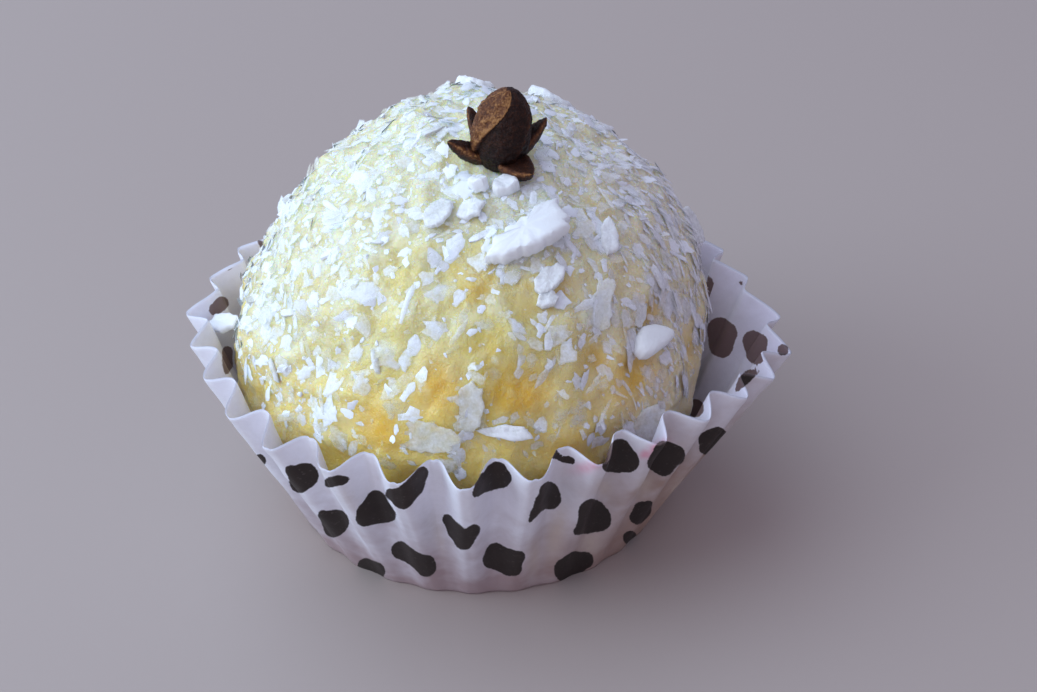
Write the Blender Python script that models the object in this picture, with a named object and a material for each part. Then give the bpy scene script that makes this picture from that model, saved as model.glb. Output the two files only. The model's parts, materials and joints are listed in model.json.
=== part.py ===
"""A coconut sweet, rolled in flakes and topped with a clove, in a pleated paper case.

The origin is the middle of the case's underside, +Z is up, and +X is to the viewer's right.
Angles round the sweet run anticlockwise from +X, so the viewer stands at 270 degrees.
"""

import math
import random

import bmesh
import bpy
from mathutils import Matrix, Vector, noise

# Paper case, in metres and degrees
BASE_RADIUS = 0.0116
WALL_SLANT = 0.0141
BACK_WALL_CUT = 0.0004
PAPER = 0.0003
PLEATS = 30
PLEAT_DEPTH = 0.0007
BASE_PLEAT_SHARE = 0.10
PLEAT_POWER = 1.5
POINTS_PER_PLEAT = 6
WALL_ROWS = (0.0, 0.3, 0.65, 1.0)
WALL_BELLY = 0.0001
FIRST_FOLD = 262.9
CROWDED_CORNER = 338.0
CORNER_CROWDING = 0.30
CROWDING_SPREAD = 20.0
# The rim is pulled into corners: angle round the case, mean radius of the rim there
RIM_PLAN = (
    (12, 0.0161), (45, 0.0159), (90, 0.0160), (130, 0.0158), (160, 0.0158), (184, 0.0167),
    (205, 0.0165), (230, 0.0171), (254, 0.0170), (275, 0.0169), (293, 0.0165), (306, 0.0165),
    (322, 0.0169), (335, 0.0176), (346, 0.0182), (357, 0.0177),
)

# Sweet, in metres
CLEARANCE = 0.0003
PASTE_CENTRE = Vector((0.0001, 0.0001, 0.0102))
PASTE_RADIUS = 0.01455
CROWN_HEIGHT = 0.0152
BELLY_DEPTH = 0.0096
CROWN_POWER = 1.9
BELLY_POWER = 2.2
LUMP_HEIGHT = 0.00028
LUMP_SPACING = 0.0048
LUMP_PLACE = Vector((3.1, 0.7, 5.2))
# Where the soft paste swells or sinks: angle round, angle down from the crown, height, spread
SWELLS = (
    (352, 98, -0.0012, 27), (265, 78, 0.0009, 36), (215, 84, 0.0004, 26),
    (90, 40, 0.0003, 25), (150, 50, -0.0004, 25),
)
PASTE_ROWS = 22
PASTE_COLUMNS = 44

# Coconut, in metres
FLAKE_COUNT = 150
SHRED_COUNT = 55
COCONUT_LOWEST = 0.0122
FLAKE_LENGTH = (0.0013, 0.0029)
FLAKE_WIDTH_SHARE = (0.5, 0.85)
FLAKE_THICKNESS = 0.00038
SHRED_LENGTH = (0.0022, 0.0040)
SHRED_WIDTH = 0.00048
FLAKE_SIDES = 5
FLAKE_JITTER = 0.25
SHRED_BEND = (0.05, 0.16)
SHRED_END = 0.4
LUMP_ROUGHNESS = (0.86, 1.08)
FLAKE_RAGGEDNESS = (0.75, 1.1)
THICKNESS_RANGE = (0.8, 1.3)
# The draw of the scattered pieces: seed, wobble of their places, tilts, how rare the long ones are
SCATTER_SEED = 41
WOBBLE_ROUND = 6
WOBBLE_DOWN = 2.5
FLAKE_TILT = (12, 50)
SHRED_TILT = (-16, 16)
LONG_RARITY = 2
HIGHEST_SHARE = 0.995
# Share of a piece's thickness that its middle stands above the skin
FLAKE_LIFT = 0.4
LUMP_LIFT = 0.45
GOLDEN_ANGLE = math.pi * (3 - math.sqrt(5))

# Clove, in metres and degrees
CLOVE_ROUND = 289.0
CLOVE_DOWN = 15.0
CLOVE_LEAN = 3.0
CLOVE_NOD = 8.0
CLOVE_SINK = 0.00035
STALK_RADIUS = 0.00105
STALK_DEPTH = 0.0006
BUD_RADIUS = 0.00162
BUD_HEIGHT = 0.0046
PETALS = 4
PETAL_STEP = 0.14
PETAL_START = 29.0
PETAL_TWIST = 90.0
BUD_WIDEST = 0.38
BUD_FOOT_SHRINK = 0.26
BUD_FOOT_POWER = 2.2
BUD_TOP_POWER = 2.3
BUD_TOP_ROUNDNESS = 0.66
BUD_ENDS = (0.02, 0.98)
BUD_ROWS = 11
BUD_COLUMNS = 24
# Lobes of the calyx: angle round the clove, reach, width, rise of the tip
LOBES = (
    (197, 0.0029, 0.0016, 0.0012), (308, 0.0029, 0.0020, 0.0003),
    (22, 0.0028, 0.0016, 0.0018), (130, 0.0028, 0.0016, 0.0016),
)
LOBE_THICKNESS = 0.0008
LOBE_ROWS = (0.0, 0.35, 0.7, 0.96)
LOBE_SIDES = 6
LOBE_ROOT = 0.0003
LOBE_FOOT_HEIGHT = 0.0005
LOBE_TAPER = 0.55
LOBE_TIP_WIDTH = 0.00008
LOBE_DISH = 0.12
LOBE_POINT_POWER = 2.2
LOBE_TIP_REACH = 0.04
LOBE_TIP_RISE = 0.1
CLOVE_FREE_RADIUS = 0.0033
SOCKET_RADIUS = 0.0026
SOCKET_SIDES = 18
SOCKET_FLARE = 1.15

# Edges sharper than these angles stay crisp, and the rest is shaded smooth
PAPER_CREASE = 65
SWEET_CREASE = 40
CLOVE_CREASE = 48


# Scene and materials

def clear_scene():
    for thing in list(bpy.data.objects):
        bpy.data.objects.remove(thing, do_unlink=True)


def make_material(name, colour, roughness):
    material = bpy.data.materials.new(name)
    material.use_nodes = True
    shader = material.node_tree.nodes["Principled BSDF"]
    shader.inputs["Base Color"].default_value = (*colour, 1.0)
    shader.inputs["Roughness"].default_value = roughness
    shader.inputs["Metallic"].default_value = 0.0
    return material


def link_object(name, mesh, material=None, collection=None):
    thing = bpy.data.objects.new(name, mesh)
    if material:
        mesh.materials.append(material)
    (collection or bpy.context.scene.collection).objects.link(thing)
    return thing


def shade_round(thing, crease):
    """Smooth shading that keeps the sharp edges."""
    thing.data.shade_smooth()
    thing.data.set_sharp_from_angle(angle=math.radians(crease))


# Rings of points, joined into closed skins

def skin_rings(name, rings, first_centre, last_centre):
    """Joins rings of points in order and closes each end on its centre point."""
    bm = bmesh.new()
    loops = [[bm.verts.new(point) for point in ring] for ring in rings]
    count = len(rings[0])
    for low, high in zip(loops, loops[1:]):
        for i in range(count):
            j = (i + 1) % count
            bm.faces.new((low[i], low[j], high[j], high[i]))
    first = bm.verts.new(first_centre)
    last = bm.verts.new(last_centre)
    for i in range(count):
        j = (i + 1) % count
        bm.faces.new((first, loops[0][j], loops[0][i]))
        bm.faces.new((last, loops[-1][i], loops[-1][j]))
    bmesh.ops.recalc_face_normals(bm, faces=bm.faces)
    mesh = bpy.data.meshes.new(name)
    bm.to_mesh(mesh)
    bm.free()
    return mesh


# Paper case

def angle_between(a, b):
    return (a - b + 180) % 360 - 180


def rim_radius(angle):
    """Mean radius of the rim, a smooth closed curve through RIM_PLAN."""
    count = len(RIM_PLAN)
    start = max((i for i in range(count) if RIM_PLAN[i][0] <= angle % 360), default=count - 1)
    before, low, high, after = (RIM_PLAN[(start + k) % count] for k in (-1, 0, 1, 2))
    width = (high[0] - low[0]) % 360
    t = ((angle - low[0]) % 360) / width
    slope_low = (high[1] - before[1]) / ((high[0] - before[0]) % 360) * width
    slope_high = (after[1] - low[1]) / ((after[0] - low[0]) % 360) * width
    return (
        low[1] * (2 * t**3 - 3 * t**2 + 1) + slope_low * (t**3 - 2 * t**2 + t)
        + high[1] * (3 * t**2 - 2 * t**3) + slope_high * (t**3 - t**2)
    )


def pleat_turns():
    """Pleats passed at each whole degree, crowded together at one corner."""
    crowd = [
        1 + CORNER_CROWDING * math.exp(-(angle_between(a + 0.5, CROWDED_CORNER) / CROWDING_SPREAD) ** 2)
        for a in range(360)
    ]
    turns = [0.0]
    for step in crowd:
        turns.append(turns[-1] + step * PLEATS / sum(crowd))
    return turns


PLEAT_TURNS = pleat_turns()


def pleat_turn(angle):
    whole = int(angle % 360)
    part = angle % 360 - whole
    return PLEAT_TURNS[whole] * (1 - part) + PLEAT_TURNS[whole + 1] * part


def angle_at_turn(turn):
    """Angle round the case at which a number of pleats has passed."""
    turn %= PLEATS
    whole = max(i for i in range(360) if PLEAT_TURNS[i] <= turn)
    return whole + (turn - PLEAT_TURNS[whole]) / (PLEAT_TURNS[whole + 1] - PLEAT_TURNS[whole])


def rim_height(angle, fold=0.0):
    """Height of the rim, lower at an outward fold (1) than at an inward one (-1)."""
    slant = WALL_SLANT - BACK_WALL_CUT * (1 + math.cos(math.radians(angle - 90))) / 2
    spread = rim_radius(angle) + PLEAT_DEPTH * fold - BASE_RADIUS
    return math.sqrt(slant**2 - spread**2)


def wall_middle(angle, share):
    """Radius midway between the folds, at a share of the way up the wall."""
    straight = BASE_RADIUS + (rim_radius(angle) - BASE_RADIUS) * share
    return straight + WALL_BELLY * math.sin(math.pi * share)


def pleat_reach(share):
    return PLEAT_DEPTH * (BASE_PLEAT_SHARE + (1 - BASE_PLEAT_SHARE) * share**PLEAT_POWER)


def wall_point(angle, share, side):
    """A point on the wall: side is 1 for its outer face and -1 for its inner face."""
    fold = -math.cos(2 * math.pi * (pleat_turn(angle) - pleat_turn(FIRST_FOLD)))
    radius = wall_middle(angle, share) + pleat_reach(share) * fold + side * PAPER / 2
    turn = math.radians(angle)
    height = max(rim_height(angle, fold) * share, PAPER if side < 0 else 0.0)
    return Vector((radius * math.cos(turn), radius * math.sin(turn), height))


def make_paper_case(material):
    steps = PLEATS * POINTS_PER_PLEAT
    start = pleat_turn(FIRST_FOLD)
    angles = [angle_at_turn(start + i / POINTS_PER_PLEAT) for i in range(steps)]
    outer = [[wall_point(a, share, 1) for a in angles] for share in WALL_ROWS]
    inner = [[wall_point(a, share, -1) for a in angles] for share in reversed(WALL_ROWS)]
    mesh = skin_rings("paper_case", outer + inner, Vector((0, 0, 0)), Vector((0, 0, PAPER)))
    case = link_object("paper_case", mesh, material)
    shade_round(case, PAPER_CREASE)
    return case


# Paste

def paste_direction(angle, polar):
    turn, down = math.radians(angle), math.radians(polar)
    return Vector((math.sin(down) * math.cos(turn), math.sin(down) * math.sin(turn), math.cos(down)))


def paste_reach(direction):
    """Distance from the paste's centre to its smooth skin, before the case presses on it."""
    across = math.hypot(direction.x, direction.y)
    tall, power = (CROWN_HEIGHT, CROWN_POWER) if direction.z > 0 else (BELLY_DEPTH, BELLY_POWER)
    return ((across / PASTE_RADIUS) ** power + (abs(direction.z) / tall) ** power) ** (-1 / power)


def paste_point(angle, polar):
    """A point on the lumpy skin, held clear of the case that the soft paste sits in."""
    direction = paste_direction(angle, polar)
    reach = paste_reach(direction)
    reach += LUMP_HEIGHT * noise.noise(direction * PASTE_RADIUS / LUMP_SPACING + LUMP_PLACE)
    for round_at, down_at, height, spread in SWELLS:
        away = math.degrees(direction.angle(paste_direction(round_at, down_at)))
        reach += height * math.exp(-(away / spread) ** 2)
    point = PASTE_CENTRE + direction * reach
    point.z = max(point.z, PAPER + CLEARANCE)
    around = math.degrees(math.atan2(point.y, point.x))
    share = point.z / rim_height(around)
    if share < 1:
        limit = wall_middle(around, share) - pleat_reach(share) - PAPER / 2 - CLEARANCE
        flat = math.hypot(point.x, point.y)
        if flat > limit:
            point.x *= limit / flat
            point.y *= limit / flat
    return point


def paste_normal(angle, polar):
    along = paste_point(angle + 1, polar) - paste_point(angle - 1, polar)
    down = paste_point(angle, polar + 1) - paste_point(angle, polar - 1)
    return down.cross(along).normalized()


def make_paste(material):
    rings = []
    for row in range(1, PASTE_ROWS):
        polar = 180 * row / PASTE_ROWS
        rings.append([paste_point(360 * i / PASTE_COLUMNS, polar) for i in range(PASTE_COLUMNS)])
    top, bottom = paste_point(0, 0), paste_point(0, 180)
    mesh = skin_rings("sweet_ball", rings, top, bottom)
    return link_object("sweet_ball", mesh, material)


# Coconut

def prism(outline, thickness):
    """A flat chip of the given outline, middle plane at z = 0."""
    bm = bmesh.new()
    low = [bm.verts.new((x, y, -thickness / 2)) for x, y in outline]
    face = bm.faces.new(low)
    raised = bmesh.ops.extrude_face_region(bm, geom=[face])["geom"]
    verts = [item for item in raised if isinstance(item, bmesh.types.BMVert)]
    bmesh.ops.translate(bm, vec=(0, 0, thickness), verts=verts)
    bmesh.ops.triangulate(bm, faces=bm.faces)
    bmesh.ops.recalc_face_normals(bm, faces=bm.faces)
    mesh = bpy.data.meshes.new("coconut")
    bm.to_mesh(mesh)
    bm.free()
    return mesh


def flake_mesh(draw, length):
    """An irregular five-sided chip of coconut."""
    width = length * draw.uniform(*FLAKE_WIDTH_SHARE)
    outline = []
    for i in range(FLAKE_SIDES):
        turn = 2 * math.pi * (i + draw.uniform(-FLAKE_JITTER, FLAKE_JITTER)) / FLAKE_SIDES
        reach = draw.uniform(*FLAKE_RAGGEDNESS)
        outline.append((length / 2 * reach * math.cos(turn), width / 2 * reach * math.sin(turn)))
    return prism(outline, FLAKE_THICKNESS * draw.uniform(*THICKNESS_RANGE))


def shred_mesh(draw, length):
    """A curved, pointed strip of coconut."""
    bend = length * draw.uniform(*SHRED_BEND)
    half = SHRED_WIDTH / 2
    end, end_height = length * SHRED_END, half - bend * SHRED_END
    outline = [(-length / 2, -bend), (0, -half), (length / 2, -bend), (end, end_height),
               (0, half + bend / 2), (-end, end_height)]
    return prism(outline, FLAKE_THICKNESS)


def lump_mesh(size, draw):
    """A rounded or jagged lump of coconut with the given half sizes."""
    bm = bmesh.new()
    bmesh.ops.create_icosphere(bm, subdivisions=2, radius=1)
    for vert in bm.verts:
        vert.co *= draw.uniform(*LUMP_ROUGHNESS)
        vert.co = Vector((vert.co.x * size[0], vert.co.y * size[1], vert.co.z * size[2]))
    mesh = bpy.data.meshes.new("coconut")
    bm.to_mesh(mesh)
    bm.free()
    return mesh


def place_on_paste(thing, angle, polar, spin, tilt, lift):
    """Lays a piece on the skin, turned anticlockwise from level, then tipped up on its edge."""
    normal = paste_normal(angle, polar)
    level = Vector((0, 0, 1)).cross(normal).normalized()
    level = Matrix((level, normal.cross(level), normal)).transposed().to_4x4()
    turn = Matrix.Rotation(math.radians(spin), 4, "Z") @ Matrix.Rotation(math.radians(tilt), 4, "Y")
    spot = paste_point(angle, polar) + normal * lift
    thing.matrix_world = Matrix.Translation(spot) @ level @ turn
    thing.data.transform(thing.matrix_world)
    thing.matrix_world = Matrix.Identity(4)


def is_clear(thing, clove_foot):
    """True where a piece keeps clear of the case and of the clove."""
    for vert in thing.data.vertices:
        if (vert.co - clove_foot).length < CLOVE_FREE_RADIUS:
            return False
        around = math.degrees(math.atan2(vert.co.y, vert.co.x))
        top = rim_height(around)
        if vert.co.z < top + CLEARANCE:
            share = min(vert.co.z / top, 1)
            limit = wall_middle(around, share) - pleat_reach(share) - PAPER / 2 - CLEARANCE
            if math.hypot(vert.co.x, vert.co.y) > limit:
                return False
    return True


# Coconut pieces that stand out: angle round, angle down from the crown, spin, tilt, half sizes
LARGE_LUMPS = (
    (288, 34, -12, 8, (0.0024, 0.0013, 0.0009)), (316, 66, 35, 14, (0.0018, 0.0010, 0.0009)),
)
# Angle round, angle down from the crown, length, spin, tilt
LARGE_FLAKES = (
    (304, 53, 0.0034, 60, 18), (311, 80, 0.0030, 20, 12), (314, 58, 0.0026, 70, 24),
    (318, 43, 0.0031, 120, 20), (260, 74, 0.0042, 5, 12), (262, 46, 0.0026, 20, 20),
    (246, 62, 0.0025, 70, 22), (280, 64, 0.0024, 10, 25), (212, 60, 0.0026, 130, 22),
    (235, 38, 0.0024, 40, 20), (30, 55, 0.0026, 80, 24), (100, 60, 0.0028, 20, 18),
    (150, 48, 0.0026, 120, 22), (60, 30, 0.0024, 60, 20), (350, 70, 0.0025, 100, 30),
)


def scatter_coconut(collection, clove_foot):
    """Covers the paste above the case, the largest pieces first, on an even spiral."""
    draw = random.Random(SCATTER_SEED)
    for angle, polar, spin, tilt, size in LARGE_LUMPS:
        lump = link_object("coconut", lump_mesh(size, draw), None, collection)
        place_on_paste(lump, angle, polar, spin, tilt, size[2] * LUMP_LIFT)
    for angle, polar, length, spin, tilt in LARGE_FLAKES:
        flake = link_object("coconut", flake_mesh(draw, length), None, collection)
        place_on_paste(flake, angle, polar, spin, tilt, FLAKE_THICKNESS * FLAKE_LIFT)
    count = FLAKE_COUNT + SHRED_COUNT
    lowest = (COCONUT_LOWEST - PASTE_CENTRE.z) / CROWN_HEIGHT
    for i in range(count):
        height = lowest + (HIGHEST_SHARE - lowest) * (i + 0.5) / count
        angle = math.degrees(i * GOLDEN_ANGLE) + draw.uniform(-WOBBLE_ROUND, WOBBLE_ROUND)
        polar = math.degrees(math.acos(height)) + draw.uniform(-WOBBLE_DOWN, WOBBLE_DOWN)
        is_shred = i * SHRED_COUNT // count != (i + 1) * SHRED_COUNT // count
        if is_shred:
            mesh = shred_mesh(draw, draw.uniform(*SHRED_LENGTH))
            tilt = draw.uniform(*SHRED_TILT)
        else:
            small, large = FLAKE_LENGTH
            mesh = flake_mesh(draw, small + (large - small) * draw.random() ** LONG_RARITY)
            tilt = draw.uniform(*FLAKE_TILT)
        piece = link_object("coconut", mesh, None, collection)
        place_on_paste(piece, angle, polar, draw.uniform(0, 360), tilt, FLAKE_THICKNESS * FLAKE_LIFT)
    for piece in list(collection.objects):
        if not is_clear(piece, clove_foot):
            bpy.data.objects.remove(piece, do_unlink=True)


def combine(thing, collection, operation):
    """Joins a collection's pieces onto one object, or cuts them out of it, and removes them."""
    change = thing.modifiers.new("combine", "BOOLEAN")
    change.operation = operation
    change.operand_type = "COLLECTION"
    change.collection = collection
    evaluated = thing.evaluated_get(bpy.context.evaluated_depsgraph_get())
    result = bpy.data.meshes.new_from_object(evaluated)
    thing.modifiers.clear()
    thing.data = result
    for piece in list(collection.objects):
        bpy.data.objects.remove(piece, do_unlink=True)
    bpy.data.collections.remove(collection)


def new_collection(name):
    collection = bpy.data.collections.new(name)
    bpy.context.scene.collection.children.link(collection)
    return collection


# Clove

def clove_frame():
    """Where the clove stands on the paste, its axis leaning a little from upright."""
    foot = paste_point(CLOVE_ROUND, CLOVE_DOWN)
    lean = Matrix.Rotation(math.radians(CLOVE_LEAN), 4, "Y")
    nod = Matrix.Rotation(math.radians(CLOVE_NOD), 4, "X")
    return Matrix.Translation(foot - Vector((0, 0, CLOVE_SINK))) @ nod @ lean


def bud_outline(share):
    """Radius of the closed bud at a share of its height."""
    if share < BUD_WIDEST:
        return BUD_RADIUS * (1 - BUD_FOOT_SHRINK * ((BUD_WIDEST - share) / BUD_WIDEST) ** BUD_FOOT_POWER)
    above = (share - BUD_WIDEST) / (1 - BUD_WIDEST)
    return BUD_RADIUS * (1 - above**BUD_TOP_POWER) ** BUD_TOP_ROUNDNESS


def bud_mesh(stalk_bottom):
    """The bud's petals, wrapped over each other in a spiral, on the stalk's short head."""
    rings = [[Vector((STALK_RADIUS * math.cos(2 * math.pi * i / BUD_COLUMNS),
                      STALK_RADIUS * math.sin(2 * math.pi * i / BUD_COLUMNS), stalk_bottom))
              for i in range(BUD_COLUMNS)]]
    for row in range(BUD_ROWS):
        share = BUD_ENDS[0] + (BUD_ENDS[1] - BUD_ENDS[0]) * row / (BUD_ROWS - 1)
        ring = []
        for i in range(BUD_COLUMNS):
            turn = 360 * i / BUD_COLUMNS
            petal = ((turn - PETAL_START - PETAL_TWIST * share**2) * PETALS / 360) % 1
            radius = bud_outline(share) * (1 + PETAL_STEP * (petal - 0.5) * math.sin(math.pi * share))
            ring.append(Vector((radius * math.cos(math.radians(turn)),
                                radius * math.sin(math.radians(turn)), BUD_HEIGHT * share)))
        rings.append(ring)
    return skin_rings("clove", rings, Vector((0, 0, stalk_bottom)), Vector((0, 0, BUD_HEIGHT)))


def lobe_mesh(reach, width, rise):
    """One pointed lobe of the calyx, along +X, curling up towards its tip."""
    rings = []
    turns = [2 * math.pi * k / LOBE_SIDES for k in range(LOBE_SIDES)]
    for share in LOBE_ROWS:
        half_width = width / 2 * (1 - share**LOBE_POINT_POWER) + LOBE_TIP_WIDTH
        half_thick = LOBE_THICKNESS / 2 * (1 - LOBE_TAPER * share)
        x = LOBE_ROOT + (reach - LOBE_ROOT) * share
        z = LOBE_FOOT_HEIGHT + rise * share**2 + half_width * LOBE_DISH
        rings.append([Vector((x, half_width * math.cos(t), z + half_thick * math.sin(t))) for t in turns])
    first = sum(rings[0], Vector()) / LOBE_SIDES
    last = sum(rings[-1], Vector()) / LOBE_SIDES
    last += Vector((reach * LOBE_TIP_REACH, 0, rise * LOBE_TIP_RISE))
    return skin_rings("lobe", rings, first, last)


def make_clove(material):
    frame = clove_frame()
    clove = link_object("clove", bud_mesh(-STALK_DEPTH), material)
    lobes = new_collection("lobes")
    for angle, reach, width, rise in LOBES:
        lobe = link_object("lobe", lobe_mesh(reach, width, rise), None, lobes)
        lobe.data.transform(Matrix.Rotation(math.radians(angle), 4, "Z"))
    combine(clove, lobes, "UNION")
    clove.data.transform(frame)
    shade_round(clove, CLOVE_CREASE)
    return clove


def socket_mesh():
    """The room in the paste for the clove's stalk, widening under the calyx."""
    profile = (
        (STALK_RADIUS + CLEARANCE, -STALK_DEPTH - CLEARANCE), (STALK_RADIUS + CLEARANCE, 0),
        (SOCKET_RADIUS, 0), (SOCKET_RADIUS * SOCKET_FLARE, SOCKET_RADIUS),
    )
    rings = []
    for radius, height in profile:
        turns = [2 * math.pi * i / SOCKET_SIDES for i in range(SOCKET_SIDES)]
        rings.append([Vector((radius * math.cos(t), radius * math.sin(t), height)) for t in turns])
    return skin_rings("socket", rings, Vector((0, 0, profile[0][1])), Vector((0, 0, SOCKET_RADIUS)))


def main():
    clear_scene()
    paper = make_material("paper", (0.74, 0.74, 0.82), 0.75)
    coconut = make_material("coconut_paste", (0.83, 0.80, 0.52), 0.6)
    clove_brown = make_material("clove_brown", (0.12, 0.055, 0.025), 0.7)
    make_paper_case(paper)
    sweet = make_paste(coconut)
    holes = new_collection("holes")
    socket = link_object("socket", socket_mesh(), None, holes)
    socket.data.transform(clove_frame())
    combine(sweet, holes, "DIFFERENCE")
    toppings = new_collection("toppings")
    scatter_coconut(toppings, clove_frame().translation)
    combine(sweet, toppings, "UNION")
    shade_round(sweet, SWEET_CREASE)
    make_clove(clove_brown)


main()
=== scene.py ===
import json
import math
import random

import bmesh
import bpy
import numpy as np
from mathutils import Matrix, Vector, noise

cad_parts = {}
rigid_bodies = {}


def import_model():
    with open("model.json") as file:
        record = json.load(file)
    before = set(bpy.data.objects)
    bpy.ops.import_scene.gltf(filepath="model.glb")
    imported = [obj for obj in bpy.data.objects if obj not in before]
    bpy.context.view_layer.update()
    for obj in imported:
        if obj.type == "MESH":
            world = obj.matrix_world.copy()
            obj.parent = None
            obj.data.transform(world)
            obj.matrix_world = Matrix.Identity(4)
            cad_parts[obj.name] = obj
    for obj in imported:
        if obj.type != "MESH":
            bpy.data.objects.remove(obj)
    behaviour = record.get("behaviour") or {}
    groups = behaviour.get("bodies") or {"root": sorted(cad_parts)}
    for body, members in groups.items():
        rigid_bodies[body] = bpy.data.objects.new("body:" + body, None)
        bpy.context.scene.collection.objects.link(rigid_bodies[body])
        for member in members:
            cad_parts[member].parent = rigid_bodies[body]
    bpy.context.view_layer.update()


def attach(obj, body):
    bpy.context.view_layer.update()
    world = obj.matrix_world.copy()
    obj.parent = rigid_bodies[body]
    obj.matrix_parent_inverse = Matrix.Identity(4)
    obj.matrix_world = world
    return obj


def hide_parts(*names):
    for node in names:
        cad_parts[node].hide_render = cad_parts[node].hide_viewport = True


# A coconut sweet with a clove on top, in a pleated paper case printed with cow spots.
# Metres, +Z up, the viewer in front at -Y. Angles round the sweet run anticlockwise from +X.

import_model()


# Meshes and objects

def onCircle(turn):
    return math.cos(math.radians(turn)), math.sin(math.radians(turn))


def rise(value, start, width):
    # grows from 0 to 1 over the width
    return max(0.0, min(1.0, (value - start) / width))


def linkObject(name, mesh, collection=None):
    thing = bpy.data.objects.new(name, mesh)
    (collection or bpy.context.scene.collection).objects.link(thing)
    return thing


def meshFrom(name, points, faces, smooth=True):
    mesh = bpy.data.meshes.new(name)
    mesh.from_pydata([tuple(point) for point in points], [], faces)
    mesh.polygons.foreach_set("use_smooth", [smooth] * len(mesh.polygons))
    mesh.update()
    return mesh


def storeFloats(mesh, name, values):
    layer = mesh.attributes.new(name, "FLOAT", "POINT")
    layer.data.foreach_set("value", np.asarray(values, dtype=np.float32))


def ringFaces(rings, columns):
    # quads between rings of points that follow each other, with a fan on the last two points
    faces = []
    for row in range(rings - 1):
        for i in range(columns):
            j = (i + 1) % columns
            low, high = row * columns, (row + 1) * columns
            faces.append((low + i, low + j, high + j, high + i))
    first, last = rings * columns, (rings - 1) * columns
    for i in range(columns):
        j = (i + 1) % columns
        faces.append((first, j, i))
        faces.append((first + 1, last + i, last + j))
    return faces


def unevenTurns(draw, count, jitter):
    # angles round a full turn, each a little off its place
    for i in range(count):
        yield 2 * math.pi * (i + draw.uniform(-jitter, jitter)) / count


def outwards(mesh):
    bm = bmesh.new()
    bm.from_mesh(mesh)
    bmesh.ops.recalc_face_normals(bm, faces=bm.faces)
    bm.to_mesh(mesh)
    bm.free()
    return mesh


# Node trees

def setInput(tree, socket, value):
    if isinstance(value, bpy.types.NodeSocket):
        tree.links.new(value, socket)
    elif value is not None:
        socket.default_value = value


def addNode(tree, kind, values=(), **settings):
    # values fill the inputs by name when they are a dictionary, and otherwise in order
    made = tree.nodes.new(kind)
    for name, value in settings.items():
        setattr(made, name, value)
    live = [socket for socket in made.inputs if socket.enabled]
    for key, value in (values.items() if isinstance(values, dict) else enumerate(values)):
        socket = live[key] if isinstance(key, int) else next(s for s in live if s.name == key)
        setInput(tree, socket, value)
    return made


def firstOut(made):
    return next(socket for socket in made.outputs if socket.enabled)


def maths(tree, operation, *values):
    return firstOut(addNode(tree, "ShaderNodeMath", values, operation=operation))


def plus(tree, first, second):
    return maths(tree, "ADD", first, second)


def times(tree, first, second):
    return maths(tree, "MULTIPLY", first, second)


def oneMinus(tree, value):
    return maths(tree, "SUBTRACT", 1.0, value)


def swing(tree, value, amount):
    # a noise's distance from its middle, by an amount
    return times(tree, maths(tree, "SUBTRACT", value, 0.5), amount)


def vectorOf(tree, x, y, z):
    return firstOut(addNode(tree, "ShaderNodeCombineXYZ", (x, y, z)))


def vectorMaths(tree, operation, *values):
    made = addNode(tree, "ShaderNodeVectorMath", operation=operation)
    live = [socket for socket in made.inputs if socket.enabled]
    for socket, value in zip(live, values):
        setInput(tree, socket, value)
    return firstOut(made)


def newTree(name, inputs):
    tree = bpy.data.node_groups.new(name, "GeometryNodeTree")
    tree.is_modifier = True
    tree.interface.new_socket("Geometry", in_out="INPUT", socket_type="NodeSocketGeometry")
    tree.interface.new_socket("Geometry", in_out="OUTPUT", socket_type="NodeSocketGeometry")
    for label, kind in inputs:
        tree.interface.new_socket(label, in_out="INPUT", socket_type="NodeSocket" + kind)
    return tree, tree.nodes.new("NodeGroupInput").outputs, tree.nodes.new("NodeGroupOutput").inputs[0]


def readAttribute(tree, name, kind="FLOAT"):
    return firstOut(addNode(tree, "GeometryNodeInputNamedAttribute", {"Name": name}, data_type=kind))


def storeNamed(tree, geometry, name, value, kind="FLOAT", domain="POINT"):
    return addNode(tree, "GeometryNodeStoreNamedAttribute", {
        "Geometry": firstOut(geometry), "Name": name, "Value": value,
    }, data_type=kind, domain=domain)


def finishTree(tree, geometry, given, result):
    real = addNode(tree, "GeometryNodeRealizeInstances", {"Geometry": firstOut(geometry)})
    dressed = addNode(tree, "GeometryNodeSetMaterial", {
        "Geometry": firstOut(real), "Material": given["Material"],
    })
    tree.links.new(firstOut(dressed), result)
    return tree


def growFromTree(thing, tree, values):
    # runs the tree on the object with its inputs set, and keeps the result as a plain mesh
    modifier = thing.modifiers.new(tree.name, "NODES")
    modifier.node_group = tree
    for item in tree.interface.items_tree:
        if item.item_type == "SOCKET" and item.in_out == "INPUT" and item.name in values:
            modifier[item.identifier] = values[item.name]
    graph = bpy.context.evaluated_depsgraph_get()
    mesh = bpy.data.meshes.new_from_object(thing.evaluated_get(graph), depsgraph=graph)
    thing.modifiers.remove(modifier)
    thing.data = mesh
    return thing


def newMaterial(name):
    material = bpy.data.materials.new(name)
    material.use_nodes = True
    return material, material.node_tree, material.node_tree.nodes["Principled BSDF"]


def setShader(tree, shader, values):
    for name, value in values.items():
        setInput(tree, shader.inputs[name], value)


def attributeOf(tree, name):
    return addNode(tree, "ShaderNodeAttribute", attribute_name=name).outputs["Fac"]


def objectPlace(tree):
    return addNode(tree, "ShaderNodeTexCoord").outputs["Object"]


def noiseOf(tree, vector, scale, detail=3.0, roughness=0.5, output="Fac"):
    made = addNode(tree, "ShaderNodeTexNoise", {
        "Vector": vector, "Scale": scale, "Detail": detail, "Roughness": roughness,
    })
    return made.outputs[output]


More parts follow.
